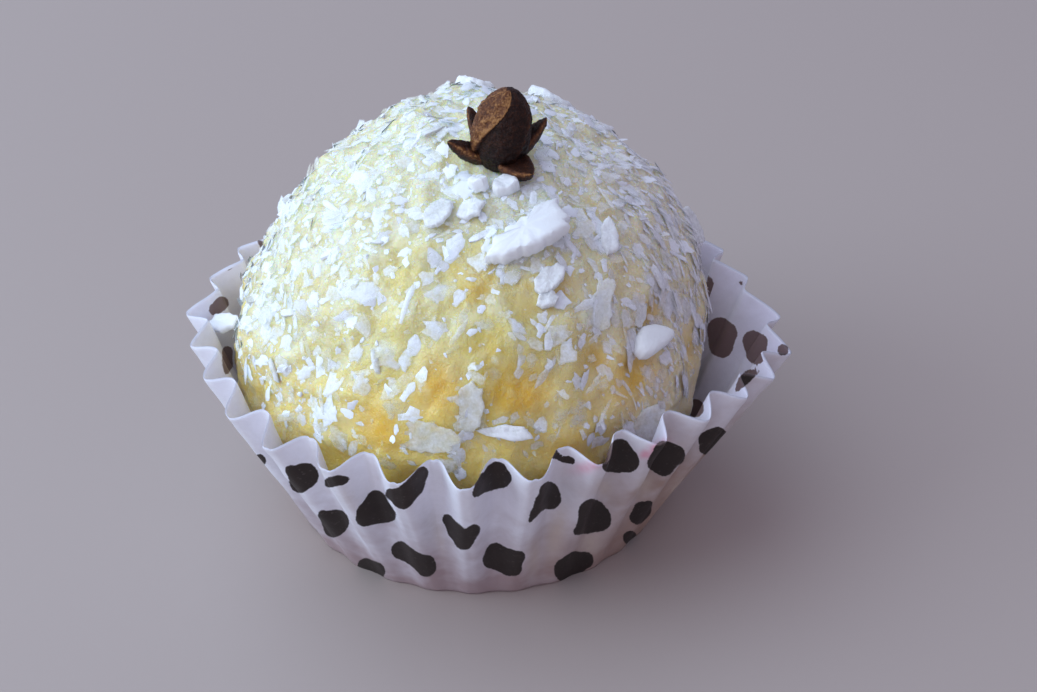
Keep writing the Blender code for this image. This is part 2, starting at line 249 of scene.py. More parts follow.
def rampOf(tree, factor, stops):
    made = addNode(tree, "ShaderNodeValToRGB", {"Fac": factor})
    points = made.color_ramp.elements
    while len(points) < len(stops):
        points.new(0.5)
    for point, (place, colour) in zip(points, stops):
        point.position = place
        point.color = (*colour, 1.0)
    return made.outputs["Color"]


def mixColours(tree, factor, first, second, blend="MIX"):
    made = addNode(tree, "ShaderNodeMix", data_type="RGBA", blend_type=blend)
    live = [socket for socket in made.inputs if socket.enabled]
    for socket, value in zip(live, (factor, first, second)):
        setInput(tree, socket, (*value, 1.0) if isinstance(value, tuple) and len(value) == 3 else value)
    return firstOut(made)


def mapRange(tree, value, fromLow, fromHigh, toLow=0.0, toHigh=1.0):
    return firstOut(addNode(tree, "ShaderNodeMapRange", (value, fromLow, fromHigh, toLow, toHigh)))


def bumpOf(tree, height, strength, distance, under=None):
    made = addNode(tree, "ShaderNodeBump", {
        "Strength": strength, "Distance": distance, "Height": height, "Normal": under,
    })
    return made.outputs["Normal"]


# Camera, floor and light

cameraSettings = {
    "place": (0.00248, -0.08667, 0.06816), "pitch": 56.0, "lens": 59.19, "sensor": 36.0,
    "frame": 61.0,  # the picture is this many millimetres across where places are given as seen
}

camera = bpy.data.objects.new("camera", bpy.data.cameras.new("camera"))
bpy.context.scene.collection.objects.link(camera)
camera.location = cameraSettings["place"]
camera.rotation_euler = (math.radians(cameraSettings["pitch"]), 0, 0)
camera.data.lens = cameraSettings["lens"]
camera.data.sensor_width = cameraSettings["sensor"]
camera.data.clip_start = 0.001
bpy.context.scene.camera = camera
bpy.context.scene.view_settings.view_transform = "Standard"

floorSettings = {"half": 0.6, "colour": (0.42, 0.35, 0.32), "roughness": 0.6}


def makeFloor():
    half = floorSettings["half"]
    corners = [(-half, -half, 0), (half, -half, 0), (half, half, 0), (-half, half, 0)]
    floor = linkObject("floor", meshFrom("floor", corners, [(0, 1, 2, 3)], False))
    material, tree, shader = newMaterial("paleFloor")
    setShader(tree, shader, {
        "Base Color": (*floorSettings["colour"], 1.0), "Roughness": floorSettings["roughness"],
    })
    floor.data.materials.append(material)


# angle round the sweet, angle above the floor, distance, size, watts, colour
lightSettings = {
    "window": (165, 48, 0.45, 0.85, 2.02, (0.62, 0.83, 1.0)),
    "side": (196, 26, 0.50, 0.35, 1.05, (0.66, 0.84, 1.0)),
    "front": (236, 36, 0.55, 0.60, 0.60, (0.90, 0.90, 1.0)),
}
lightHeight = 0.012  # the lights circle this height
worldSettings = {"colour": (0.78, 0.76, 1.0), "strength": 0.50}


def makeLights():
    for name, (around, above, distance, size, watts, colour) in lightSettings.items():
        lamp = bpy.data.lights.new(name, "AREA")
        lamp.shape = "DISK"
        lamp.size = size
        lamp.energy = watts
        lamp.color = colour
        light = bpy.data.objects.new(name, lamp)
        bpy.context.scene.collection.objects.link(light)
        (x, y), (flat, up) = onCircle(around), onCircle(above)
        away = Vector((x * flat, y * flat, up))
        light.location = away * distance + Vector((0, 0, lightHeight))
        light.rotation_euler = away.to_track_quat("Z", "Y").to_euler()
    world = bpy.data.worlds.new("room")
    world.use_nodes = True
    sky = world.node_tree.nodes["Background"]
    sky.inputs["Color"].default_value = (*worldSettings["colour"], 1.0)
    sky.inputs["Strength"].default_value = worldSettings["strength"]
    bpy.context.scene.world = world


makeFloor()
makeLights()
print("camera, floor and light are ready")


# Paper case

caseSettings = {
    "baseRadius": 0.0116,
    "wallSlant": 0.0141,
    "backCut": 0.0004,
    "pleats": 30,
    "foldDepth": 0.00070,
    "baseFoldShare": 0.10,
    "foldPower": 1.5,
    "belly": 0.0001,
    "paper": 0.00009,
    "firstFold": 262.9,
    "crowdedCorner": 338.0,
    "crowding": 0.30,
    "crowdingSpread": 20.0,
    "columnsPerPleat": 20,
    "wallRows": 66,
    "floorRows": 5,
    "unevenness": 0.00045,
    "dentScale": 260.0,
    "dentSeed": 3.7,
    # how deep the folds are along the rim: change, pace, start
    "sway": ((0.08, 1.9, 1.0), (0.06, 3.7, 0.0)),
    # crisp folds, and rounder ones at the front: angle round, spread
    "crisp": 0.5,
    "rounder": 1.5,
    "roundFront": (264, 52),
    # angle round, mean radius of the rim there
    "rimPlan": (
        (12, 0.0161), (45, 0.0159), (90, 0.0160), (130, 0.0158), (160, 0.0158), (184, 0.0167),
        (205, 0.0165), (230, 0.0171), (254, 0.0170), (275, 0.0169), (293, 0.0165), (306, 0.0165),
        (322, 0.0169), (335, 0.0176), (346, 0.0182), (357, 0.0177),
    ),
}


def angleBetween(a, b):
    return (a - b + 180) % 360 - 180


def rimRadius(angle):
    # a smooth closed curve through the rim plan
    plan = caseSettings["rimPlan"]
    count = len(plan)
    start = max((i for i in range(count) if plan[i][0] <= angle % 360), default=count - 1)
    before, low, high, after = (plan[(start + k) % count] for k in (-1, 0, 1, 2))
    width = (high[0] - low[0]) % 360
    t = ((angle - low[0]) % 360) / width
    slopeLow = (high[1] - before[1]) / ((high[0] - before[0]) % 360) * width
    slopeHigh = (after[1] - low[1]) / ((after[0] - low[0]) % 360) * width
    return (
        low[1] * (2 * t**3 - 3 * t**2 + 1) + slopeLow * (t**3 - 2 * t**2 + t)
        + high[1] * (3 * t**2 - 2 * t**3) + slopeHigh * (t**3 - t**2)
    )


def pleatTurns():
    # pleats passed at each whole degree, crowded together at one corner
    corner, spread = caseSettings["crowdedCorner"], caseSettings["crowdingSpread"]
    steps = [1 + caseSettings["crowding"] * math.exp(-(angleBetween(a + 0.5, corner) / spread) ** 2)
             for a in range(360)]
    turns = np.concatenate(([0.0], np.cumsum(steps))) * caseSettings["pleats"] / sum(steps)
    return turns - np.interp(caseSettings["firstFold"], range(361), turns)


turnAtDegree = pleatTurns()


def pleatTurn(angle):
    return float(np.interp(angle % 360, range(361), turnAtDegree))


def foldAt(angle):
    # 1 on an outward fold and -1 on an inward one
    return -math.cos(2 * math.pi * pleatTurn(angle))


def wallSlant(angle):
    towardsBack = (1 + math.cos(math.radians(angle - 90))) / 2
    return caseSettings["wallSlant"] - caseSettings["backCut"] * towardsBack


def rimHeight(angle, fold=0.0):
    spread = rimRadius(angle) + caseSettings["foldDepth"] * fold - caseSettings["baseRadius"]
    return math.sqrt(wallSlant(angle) ** 2 - spread**2)


def wallMiddle(angle, share):
    base = caseSettings["baseRadius"]
    return base + (rimRadius(angle) - base) * share + caseSettings["belly"] * math.sin(math.pi * share)


def foldReach(share):
    base = caseSettings["baseFoldShare"]
    return caseSettings["foldDepth"] * (base + (1 - base) * share ** caseSettings["foldPower"])


def buildCaseTree():
    # guide ring in, pleated case out: a grid is rolled round, pleated, and given two faces
    tree, given, result = newTree("pleatedCase", (
        ("Columns", "Int"), ("Rows", "Int"), ("Floor Share", "Float"), ("Base Radius", "Float"),
        ("Base Fold Share", "Float"), ("Fold Power", "Float"), ("Belly", "Float"), ("Paper", "Float"),
        ("Unevenness", "Float"), ("Dent Scale", "Float"), ("Seed", "Float"), ("Material", "Material"),
    ))
    sheet = addNode(tree, "GeometryNodeMeshGrid", {
        "Size X": 1.0, "Size Y": 1.0, "Vertices X": plus(tree, given["Columns"], 1.0),
        "Vertices Y": plus(tree, given["Rows"], 1.0),
    })
    place = firstOut(addNode(tree, "GeometryNodeInputPosition"))
    flat = addNode(tree, "ShaderNodeSeparateXYZ", (place,)).outputs
    around = plus(tree, flat["X"], 0.5)
    along = plus(tree, flat["Y"], 0.5)
    column = maths(tree, "MODULO", maths(tree, "ROUND", times(tree, around, given["Columns"])),
                   given["Columns"])

    def guideValue(value, kind="FLOAT"):
        return firstOut(addNode(tree, "GeometryNodeSampleIndex", {
            "Geometry": given["Geometry"], "Value": value, "Index": column,
        }, data_type=kind, domain="POINT"))

    rimPoint = guideValue(place, "FLOAT_VECTOR")
    turn = guideValue(readAttribute(tree, "turn"))
    slant = guideValue(readAttribute(tree, "slant"))
    depth = guideValue(readAttribute(tree, "depth"))
    crisp = guideValue(readAttribute(tree, "crisp"))
    share = mapRange(tree, along, given["Floor Share"], 1.0)
    floorPart = mapRange(tree, along, 0.0, given["Floor Share"])

    wave = times(tree, maths(tree, "COSINE", times(tree, turn, 2 * math.pi)), -1.0)
    zigzag = times(tree, maths(tree, "ARCSINE", wave), 2 / math.pi)
    fold = plus(tree, wave, times(tree, maths(tree, "SUBTRACT", zigzag, wave), crisp))
    direction = vectorMaths(tree, "NORMALIZE", rimPoint)
    rim = vectorMaths(tree, "LENGTH", rimPoint)
    spread = maths(tree, "SUBTRACT", rim, given["Base Radius"])
    middle = maths(tree, "MULTIPLY_ADD", spread, share, given["Base Radius"])
    swell = times(tree, maths(tree, "SINE", times(tree, share, math.pi)), given["Belly"])
    foldShare = maths(tree, "MULTIPLY_ADD", oneMinus(tree, given["Base Fold Share"]),
                      maths(tree, "POWER", share, given["Fold Power"]), given["Base Fold Share"])
    reach = times(tree, times(tree, depth, foldShare), fold)
    radius = times(tree, plus(tree, plus(tree, middle, swell), reach), floorPart)
    rimOut = maths(tree, "MULTIPLY_ADD", depth, fold, spread)
    tall = maths(tree, "SUBTRACT", times(tree, slant, slant), times(tree, rimOut, rimOut))
    tall = maths(tree, "SQRT", tall)
    height = times(tree, tall, share)
    rolled = vectorMaths(tree, "ADD", vectorMaths(tree, "SCALE", direction, radius),
                         vectorOf(tree, 0.0, 0.0, height))

    # small dents that grow towards the rim
    shifted = vectorMaths(tree, "ADD", rolled, vectorOf(tree, given["Seed"], 0.0, 0.0))
    dents = noiseOf(tree, shifted, given["Dent Scale"], 2.0, output="Color")
    dents = vectorMaths(tree, "SUBTRACT", dents, (0.5, 0.5, 0.5))
    dents = vectorMaths(tree, "SCALE", dents, times(tree, given["Unevenness"], share))
    rolled = vectorMaths(tree, "ADD", rolled, dents)

    mapped = storeNamed(tree, sheet, "UVMap", vectorOf(tree, around, along, 0.0), "FLOAT2", "CORNER")
    mapped = storeNamed(tree, mapped, "wallShare", share)
    shaped = addNode(tree, "GeometryNodeSetPosition", {"Geometry": firstOut(mapped), "Position": rolled})
    shaped = addNode(tree, "GeometryNodeMergeByDistance", {"Geometry": firstOut(shaped), "Distance": 1e-7})

    # the two faces of the paper, which meet at the rim
    belowRim = maths(tree, "LESS_THAN", readAttribute(tree, "wallShare"), 0.9995)
    push = times(tree, times(tree, given["Paper"], 0.5), belowRim)
    normal = firstOut(addNode(tree, "GeometryNodeInputNormal"))
    faces = []
    for side, inside in ((1.0, 0.0), (-1.0, 1.0)):
        face = addNode(tree, "GeometryNodeSetPosition", {
            "Geometry": firstOut(shaped),
            "Offset": vectorMaths(tree, "SCALE", normal, times(tree, push, side)),
        })
        face = storeNamed(tree, face, "inside", inside)
        if side < 0:
            face = addNode(tree, "GeometryNodeFlipFaces", {"Mesh": firstOut(face)})
        faces.append(face)
    both = addNode(tree, "GeometryNodeJoinGeometry")
    for face in faces:
        tree.links.new(firstOut(face), both.inputs[0])
    case = addNode(tree, "GeometryNodeMergeByDistance", {"Geometry": firstOut(both), "Distance": 1e-7})
    case = addNode(tree, "GeometryNodeSetPosition", {
        "Geometry": firstOut(case),
        "Offset": vectorOf(tree, 0.0, 0.0, times(tree, given["Paper"], 0.5)),
    })
    case = addNode(tree, "GeometryNodeSetShadeSmooth", {"Geometry": firstOut(case), "Shade Smooth": True})
    return finishTree(tree, case, given, result)


def makeGuide():
    # a ring at the rim's mean line, which carries what changes round the case
    s = caseSettings
    columns = s["pleats"] * s["columnsPerPleat"]
    angles = [360 * i / columns for i in range(columns)]
    points = [(rimRadius(a) * onCircle(a)[0], rimRadius(a) * onCircle(a)[1], 0) for a in angles]
    mesh = bpy.data.meshes.new("paperCase")
    mesh.from_pydata(points, [(i, (i + 1) % columns) for i in range(columns)], [])
    turns = np.array([pleatTurn(a) for a in angles])
    storeFloats(mesh, "turn", turns)
    storeFloats(mesh, "slant", [wallSlant(a) for a in angles])
    sway = 1 + sum(change * np.sin(turns * pace + start) for change, pace, start in s["sway"])
    storeFloats(mesh, "depth", s["foldDepth"] * sway)
    middle, spread = s["roundFront"]
    front = np.exp(-(angleBetween(np.array(angles), middle) / spread) ** 4)
    storeFloats(mesh, "crisp", s["crisp"] - s["rounder"] * front)
    return linkObject("paperCase", mesh)


# Cow spots. Each is a few round blots that run together: across, up and radius in millimetres,
# as the viewer in front sees them

spotShapes = {
    "dot": ((0, 0, 0.62),),
    "smallDot": ((0, 0, 0.42),),
    "oval": ((-0.35, 0, 0.55), (0.35, 0.1, 0.60)),
    "bigD": ((0.18, 0.09, 0.82), (-0.11, -0.26, 0.66), (-0.70, 0.45, 0.33)),
    "roundTriangle": (
        (0.10, 0.60, 0.59), (-0.38, -0.17, 0.66), (0.62, -0.11, 0.53), (-0.61, -0.46, 0.43),
        (0.98, -0.29, 0.27),
    ),
    "boomerang": ((0.80, 0.97, 0.46), (0.39, 0.21, 0.59), (-0.31, -0.50, 0.69), (-1.02, -0.26, 0.40)),
    "lowD": ((0.13, 0.07, 0.79), (-0.04, -0.28, 0.59), (-0.63, 0.48, 0.33)),
    "bone": ((-0.94, 0.53, 0.59), (-0.17, 0.06, 0.46), (0.59, -0.41, 0.66), (0.71, -0.12, 0.40)),
    "elbow": ((-0.82, 0.80, 0.36), (-0.35, 0.09, 0.49), (0.18, -0.50, 0.56), (0.76, 0.15, 0.43)),
    "comma": ((0.18, 0.26, 0.79), (0.47, 0.03, 0.59), (-0.53, -0.27, 0.59), (-1.06, -0.91, 0.30)),
    "block": (
        (-0.46, 0.44, 0.66), (-0.75, 0.03, 0.53), (0.43, -0.32, 0.66), (1.13, 0.27, 0.30),
        (0.78, -0.56, 0.40),
    ),
    "drop": (
        (0.12, 0.42, 0.63), (0.24, -0.05, 0.63), (-0.29, -0.22, 0.46), (-0.76, -0.93, 0.27),
        (-1.00, -1.34, 0.18),
    ),
    "slug": ((-0.41, 0.16, 0.40), (0.23, -0.07, 0.36), (0.64, -0.31, 0.24)),
    "triangle": ((-0.03, 0.52, 0.66), (-0.14, -0.07, 0.85), (0.44, -0.19, 0.73), (-0.73, -0.48, 0.40)),
    "roundD": ((-0.07, 0.27, 0.82), (0.28, -0.08, 0.79), (-0.31, -0.37, 0.53), (-0.96, -0.84, 0.21)),
    "square": ((-0.01, 0.37, 0.73), (-0.13, -0.33, 0.79), (-0.60, -0.27, 0.53), (0.58, 0.20, 0.66)),
    "leaf": ((0.05, 0.10, 0.59), (-0.24, -0.31, 0.46), (0.47, 0.45, 0.27)),
    "cloud": ((0.13, 0.17, 0.66), (-0.46, -0.30, 0.73), (0.66, 0.29, 0.53)),
    "wide": ((-0.13, -0.01, 0.73), (0.40, 0.34, 0.59), (-0.25, -0.42, 0.53)),
    "lens": ((-0.62, -0.40, 0.22), (-0.20, 0.02, 0.34), (0.25, 0.30, 0.34), (0.75, 0.42, 0.20)),
    "egg": ((0.02, 0.50, 0.78), (-0.12, -0.38, 0.76), (0.40, 0.20, 0.62)),
}
printSettings = {
    "blend": 14.0, "thinner": 0.07, "rimRadius": 0.0169,
    # a seen spot is drawn no further than this from its place, in degrees round and in millimetres
    "outerWindow": 18, "innerWindow": 34, "reach": 4,
    # the back: rows in millimetres up the wall, spots in a row, first angle, step and what each may vary
    "backRows": (11.8, 7.6, 3.2), "perRow": 14, "firstAngle": 347, "step": 15, "angleVaries": 2.5,
    "heightVaries": 0.8, "backSizes": (0.95, 1.2), "seed": 12, "apart": 2.7, "apartRadius": 15,
    "stretch": 1.7, "flatten": 1.15, "leftOut": (330, 350),
    # where the inner face is seen: angle round, spread, lowest millimetre
    "innerShown": ((357, 17, -99), (179, 14, 9)),
    # these follow their circles one after another, and the others fill the space between them all
    "chains": ("boomerang", "bone", "elbow", "comma", "drop", "slug", "leaf", "lens", "oval"),
}
# the spots on the side that is seen: shape, millimetres right of the middle and up as seen, angle round
# the case, turn, size
seenSpots = [
    ("bigD", -12.74, -7.74, 233, 0, 1), ("slug", -10.7, -7.95, 244, 32, 0.95),
    ("roundTriangle", -8.48, -9.71, 249, 0, 1), ("boomerang", -6.48, -8.44, 259, 0, 1),
    ("lowD", -10.87, -10.43, 235, 0, 1), ("bone", -6.03, -12.53, 255, 0, 1),
    ("elbow", -3.38, -10.98, 268, 0, 1), ("comma", -1.44, -7.79, 275, 0, 1),
    ("block", -0.93, -12.62, 277, 0, 0.92), ("drop", 1.67, -8.95, 286, 0, 1),
    ("slug", 2.5, -6.45, 288, 0, 1.05), ("triangle", 6.0, -6.58, 302, 0, 0.95),
    ("roundD", 4.4, -10.1, 300, 0, 1), ("square", 8.63, -6.61, 314, 0, 0.94),
    ("leaf", 7.21, -9.75, 314, 0, 1), ("cloud", 3.25, -12.88, 299, 0, 1),
    ("wide", 11.34, -5.58, 326, 0, 0.92), ("smallDot", 6.56, -11.29, 314, 0, 1.2),
    ("oval", -8.71, -13.15, 242, -35, 1), ("smallDot", -15.26, -6.76, 221, 0, 1.1),
    ("smallDot", -13.68, -8.88, 226, 0, 0.7), ("lens", 13.38, -2.06, 342, 12, 1),
    ("smallDot", 15.56, -0.24, 347, 0, 1),
]
# the same for those on the inner face
seenInside = [
    ("egg", 11.95, 0.45, 0, 15, 1.0), ("egg", 13.95, -0.1, 352, 25, 0.84),
    ("smallDot", 10.4, -3.65, 340, 0, 1.5), ("smallDot", 13.09, 3.71, 10, 0, 0.45),
    ("oval", -17.62, 2.3, 178, 35, 0.75), ("smallDot", -17.09, 4.76, 170, 0, 0.9),
    ("slug", -17.12, -0.77, 188, -70, 1),
]
# a worn hole in the print, and below it stains and soaked strips: millimetres right and up as seen,
# reach across and up, turn, strength
wornPlaces = ((2.62, -6.24, 0.34, 0.13, -35, 1.0),)
stainPlaces = (
    (4.1, -7.1, 0.85, 0.35, 12, 0.7), (8.15, -6.05, 0.60, 0.36, 40, 1.3), (7.55, -6.35, 0.40, 0.25, 20, 1.0),
)
soakPlaces = (
    (2.2, -11.0, 0.55, 1.6, -12, 1.0), (0.9, -12.4, 0.4, 1.1, -8, 0.8), (5.0, -8.3, 0.5, 0.6, 0, 0.9),
    (4.2, -11.6, 0.6, 0.8, -20, 0.9), (7.4, -8.2, 0.4, 0.7, -20, 0.9), (-4.7, -11.2, 0.35, 1.3, 14, 0.5),
    (9.3, -8.4, 0.4, 0.9, -35, 0.7), (-10.0, -9.0, 0.35, 1.0, 30, 0.4),
)


def spotsRoundTheBack():
    # carries the print on round the side that the photo doesn't show, in three staggered rows:
    # shape, angle round, millimetres up the wall, turn, size
    s = printSettings
    draw = random.Random(s["seed"])
    kinds = [kind for kind in spotShapes if kind != "smallDot"]
    places = []
    for row, start in enumerate(s["backRows"]):
        for number in range(s["perRow"]):
            angle = s["firstAngle"] + s["step"] * (number + 0.5 * (row % 2))
            angle = (angle + draw.uniform(-s["angleVaries"], s["angleVaries"])) % 360
            kind = draw.choice(kinds)
            height = start + draw.uniform(-s["heightVaries"], s["heightVaries"])
            turn, size = draw.uniform(0, 360), draw.uniform(*s["backSizes"])
            apart = min((
                math.hypot(math.radians(angleBetween(angle, other[1])) * s["apartRadius"],
                           (height - other[2]) / s["stretch"])
                for other in places), default=2 * s["apart"])
            if apart > s["apart"] and not s["leftOut"][0] < angle < s["leftOut"][1]:
                places.append((kind, angle, height, turn, size))
    return places


def seenFromFront(places):
    # where the viewer sees each place, in millimetres right of the picture's middle and up
    pitch = math.radians(cameraSettings["pitch"])
    away = places - np.array(cameraSettings["place"])
    depth = away[:, 1] * math.sin(pitch) - away[:, 2] * math.cos(pitch)
    up = away[:, 1] * math.cos(pitch) + away[:, 2] * math.sin(pitch)
    scale = cameraSettings["lens"] / cameraSettings["sensor"] * cameraSettings["frame"] / depth
    return away[:, 0] * scale, up * scale


def blotField(shape, x, y, turn, size):
    c, s = onCircle(turn)
    u, v = (x * c + y * s) / size, (y * c - x * s) / size
    k = printSettings["blend"]
    circles = spotShapes[shape]
    count = len(circles)
    pairs = [(i, j) for i in range(count) for j in range(i + 1, count)
             if j == i + 1 or shape not in printSettings["chains"]]
    total = 0
    for i, j in pairs or [(0, 0)]:  # a shape of one circle is that circle
        (aX, aY, aReach), (bX, bY, bReach) = circles[i], circles[j]
        length = max((bX - aX) ** 2 + (bY - aY) ** 2, 1e-9)
        share = np.clip(((u - aX) * (bX - aX) + (v - aY) * (bY - aY)) / length, 0, 1)
        away = np.hypot(u - aX - share * (bX - aX), v - aY - share * (bY - aY))
        total = total + np.exp(-k * (away - aReach - share * (bReach - aReach)))
    return (-np.log(total) / k + printSettings["thinner"]) * size


def spotField(angles, heights, radii, seenX, seenY, inner):
    # signed distance in millimetres to the nearest spot, less than nothing inside one
    s = printSettings
    field = np.full(len(angles), 2.0)

    def addSpot(shape, x, y, turn, size, where):
        near = where & (np.abs(x) < s["reach"]) & (np.abs(y) < s["reach"])
        field[near] = np.minimum(field[near], blotField(shape, x[near], y[near], turn, size))

    outer, inside = (seenSpots, True, s["outerWindow"]), (seenInside, inner, s["innerWindow"])
    for spots, faces, window in (outer, inside):
        for shape, right, up, angle, turn, size in spots:
            where = faces & (np.abs(angleBetween(angles, angle)) < window)
            addSpot(shape, seenX - right, seenY - up, turn, size, where)
    # the parts of the inner face that are seen have their own spots
    shown = np.zeros(len(angles), dtype=bool)
    for middle, spread, lowest in s["innerShown"]:
        shown |= inner & (heights > lowest) & (np.abs(angleBetween(angles, middle)) < spread)
    for shape, angle, height, turn, size in spotsRoundTheBack():
        x = angleBetween(angles, angle) * radii * (math.pi / 180)
        y = (heights - height) / s["stretch"] * s["flatten"]
        addSpot(shape, x, y, turn, size, ~shown)
    return field


def patchField(seenX, seenY, patches):
    field = np.zeros(len(seenX))
    for right, up, across, tall, turn, strength in patches:
        c, s = onCircle(turn)
        x, y = seenX - right, seenY - up
        u, v = (x * c + y * s) / across, (y * c - x * s) / tall
        field = np.maximum(field, strength * np.exp(-(u**2 + v**2)))
    return field


def printSpots(mesh):
    count = len(mesh.vertices)
    places = np.empty(count * 3)
    mesh.vertices.foreach_get("co", places)
    places = places.reshape(-1, 3)
    share = np.empty(count, dtype=np.float32)
    mesh.attributes["wallShare"].data.foreach_get("value", share)
    inside = np.empty(count, dtype=np.float32)
    mesh.attributes["inside"].data.foreach_get("value", inside)
    base = caseSettings["baseRadius"]
    angles = np.degrees(np.arctan2(places[:, 1], places[:, 0])) % 360
    reach = np.hypot(places[:, 0], places[:, 1])
    heights = np.where(share > 0, caseSettings["wallSlant"] * share, reach - base) * 1000
    radii = np.interp(share, (0, 1), (base, printSettings["rimRadius"])) * 1000
    seenX, seenY = seenFromFront(places)
    ink = spotField(angles, heights, radii, seenX, seenY, inside > 0.5)
    storeFloats(mesh, "ink", ink + patchField(seenX, seenY, wornPlaces) * (places[:, 1] < 0))
    storeFloats(mesh, "stain", patchField(seenX, seenY, stainPlaces) * (places[:, 1] < 0))
    outerFront = (places[:, 1] < 0.004) & (inside < 0.5)
    storeFloats(mesh, "soak", patchField(seenX, seenY, soakPlaces) * outerFront)
    # painted shade: the wall that faces away from the window gets a darker, browner colour
    storeFloats(mesh, "away", np.clip((places[:, 0] - 0.0005) / 0.0095, 0, 1) * (1 - inside))


paperLook = {
    # greaseAndShade darkens the lower wall, partly grease and partly painted shade; away is painted shade on
    # the wall away from the window, and edge is painted shade along the rim
    "paper": (0.90, 0.90, 0.99), "greaseAndShade": (0.42, 0.31, 0.32), "soaked": (0.66, 0.54, 0.44),
    "away": (0.36, 0.22, 0.15), "stain": (0.82, 0.22, 0.34), "fibre": (0.45, 0.42, 0.46),
    "innerTint": (0.90, 0.86, 1.0), "edge": (0.45, 0.45, 0.55), "ink": (0.020, 0.013, 0.011),
    "inkInside": (0.17, 0.115, 0.12), "wornInk": (0.25, 0.22, 0.21),
    # scale, detail and roughness of each noise
    "speck": (5200.0, 2.0), "wander": (900.0, 2.0), "paperFibre": (1800.0, 4.0, 0.65),
    "cloud": (330.0, 3.0, 0.6),
    "roughness": 0.55, "specular": 0.35, "glow": 0.15, "glowDepth": 0.0006, "bump": 0.00004,
}


def makePaper():
    look = paperLook
    material, tree, shader = newMaterial("spottedPaper")
    place = objectPlace(tree)
    ink = attributeOf(tree, "ink")
    inside = attributeOf(tree, "inside")
    up = attributeOf(tree, "wallShare")
    speck, wander, fibre, cloud = (noiseOf(tree, place, *look[name])
                                   for name in ("speck", "wander", "paperFibre", "cloud"))
    edge = plus(tree, ink, swing(tree, speck, 0.10))
    edge = plus(tree, edge, swing(tree, wander, 0.12))
    printed = mapRange(tree, edge, 0.025, -0.025)

    # the lower wall is darker and warmer, partly grease from the sweet and partly painted shade
    low = plus(tree, oneMinus(tree, up), swing(tree, cloud, 0.9))
    low = times(tree, low, mapRange(tree, inside, 0.0, 1.0, 1.05, 0.55))
    colour = mixColours(tree, mapRange(tree, low, 0.40, 1.0), look["paper"], look["greaseAndShade"])
    # painted shade: the wall facing away from the window is made darker and browner
    away = times(tree, attributeOf(tree, "away"), mapRange(tree, low, 0.0, 0.6, 0.2, 0.85))
    colour = mixColours(tree, away, colour, look["away"])
    soak = times(tree, attributeOf(tree, "soak"), mapRange(tree, fibre, 0.25, 0.55, 0.5, 1.0))
    colour = mixColours(tree, times(tree, soak, 0.75), colour, look["soaked"])
    stain = times(tree, attributeOf(tree, "stain"), mapRange(tree, wander, 0.3, 0.6, 0.45, 0.95))
    colour = mixColours(tree, stain, colour, look["stain"])
    colour = mixColours(tree, mapRange(tree, fibre, 0.3, 0.7, 0.0, 0.14), colour, look["fibre"])
    colour = mixColours(tree, times(tree, inside, 0.5), colour, look["innerTint"], "MULTIPLY")
    # painted shade: the colour darkens along the rim's edge
    colour = mixColours(tree, mapRange(tree, up, 0.984, 0.999, 0.0, 0.45), colour, look["edge"])
    inkTone = mixColours(tree, inside, look["ink"], look["inkInside"])
    inkTone = mixColours(tree, mapRange(tree, speck, 0.62, 0.80, 0.0, 0.25), inkTone, look["wornInk"])
    setShader(tree, shader, {
        "Base Color": mixColours(tree, printed, colour, inkTone), "Roughness": look["roughness"],
        "Subsurface Weight": look["glow"], "Subsurface Radius": (1.0, 0.9, 0.85),
        "Subsurface Scale": look["glowDepth"], "Specular IOR Level": look["specular"],
        "Normal": bumpOf(tree, fibre, 0.25, look["bump"]),
    })
    return material


def makeCase():
    s = caseSettings
    rows = s["wallRows"] + s["floorRows"]
    case = growFromTree(makeGuide(), buildCaseTree(), {
        "Columns": s["pleats"] * s["columnsPerPleat"], "Rows": rows, "Floor Share": s["floorRows"] / rows,
        "Base Radius": s["baseRadius"], "Base Fold Share": s["baseFoldShare"], "Fold Power": s["foldPower"],
        "Belly": s["belly"], "Paper": s["paper"], "Unevenness": s["unevenness"],
        "Dent Scale": s["dentScale"], "Seed": s["dentSeed"], "Material": makePaper(),
    })
    printSpots(case.data)
    return case


paperCase = makeCase()
print("paper case:", len(paperCase.data.polygons), "faces")


# Paste

pasteSettings = {
    "centre": (0.0001, 0.0001, 0.0102),
    "radius": 0.01455,
    "crown": 0.0152,
    "belly": 0.0096,
    "crownPower": 1.9,
    "bellyPower": 2.2,
    "lump": 0.00028,
    "lumpSpacing": 0.0048,
    "lumpPlace": (3.1, 0.7, 5.2),
    "middleLump": 0.00036,
    "middleSpacing": 0.0023,
    "middlePlace": (2, 8, 5),
    "fineLump": 0.00014,
    "fineSpacing": 0.0011,
    "clearance": 0.00005,
    "followsFolds": 0.65,
    "rimGap": 0.00025,
    "rows": 150,
    "columns": 360,
    # where it swells or sinks: angle round, angle down from the crown, height, spread
    "swells": (
        (352, 98, -0.0012, 27), (265, 78, 0.0009, 36), (215, 84, 0.0004, 26),
        (90, 40, 0.0003, 25), (150, 50, -0.0004, 25), (311, 70, -0.0006, 4.5), (319, 62, -0.0004, 4),
        (300, 64, -0.0004, 4),
    ),
    # amber hollows: angle round, angle down, reach in degrees, strength
    "pits": (
        (309, 71, 6.0, 1.0), (320, 60, 4.0, 0.8), (300, 64, 4.0, 0.6), (262, 66, 5.5, 0.85),
        (281, 68, 6.0, 0.9), (272, 47, 4.0, 0.4), (250, 76, 5.0, 0.8), (293, 48, 3.5, 0.5),
        (290, 84, 5.0, 0.85), (40, 60, 5.0, 0.5), (100, 70, 5.0, 0.5), (5, 78, 5.0, 0.5),
        (335, 76, 4.5, 0.6),
    ),
}


def pasteDirection(angle, polar):
    (x, y), (up, out) = onCircle(angle), onCircle(polar)
    return Vector((out * x, out * y, up))


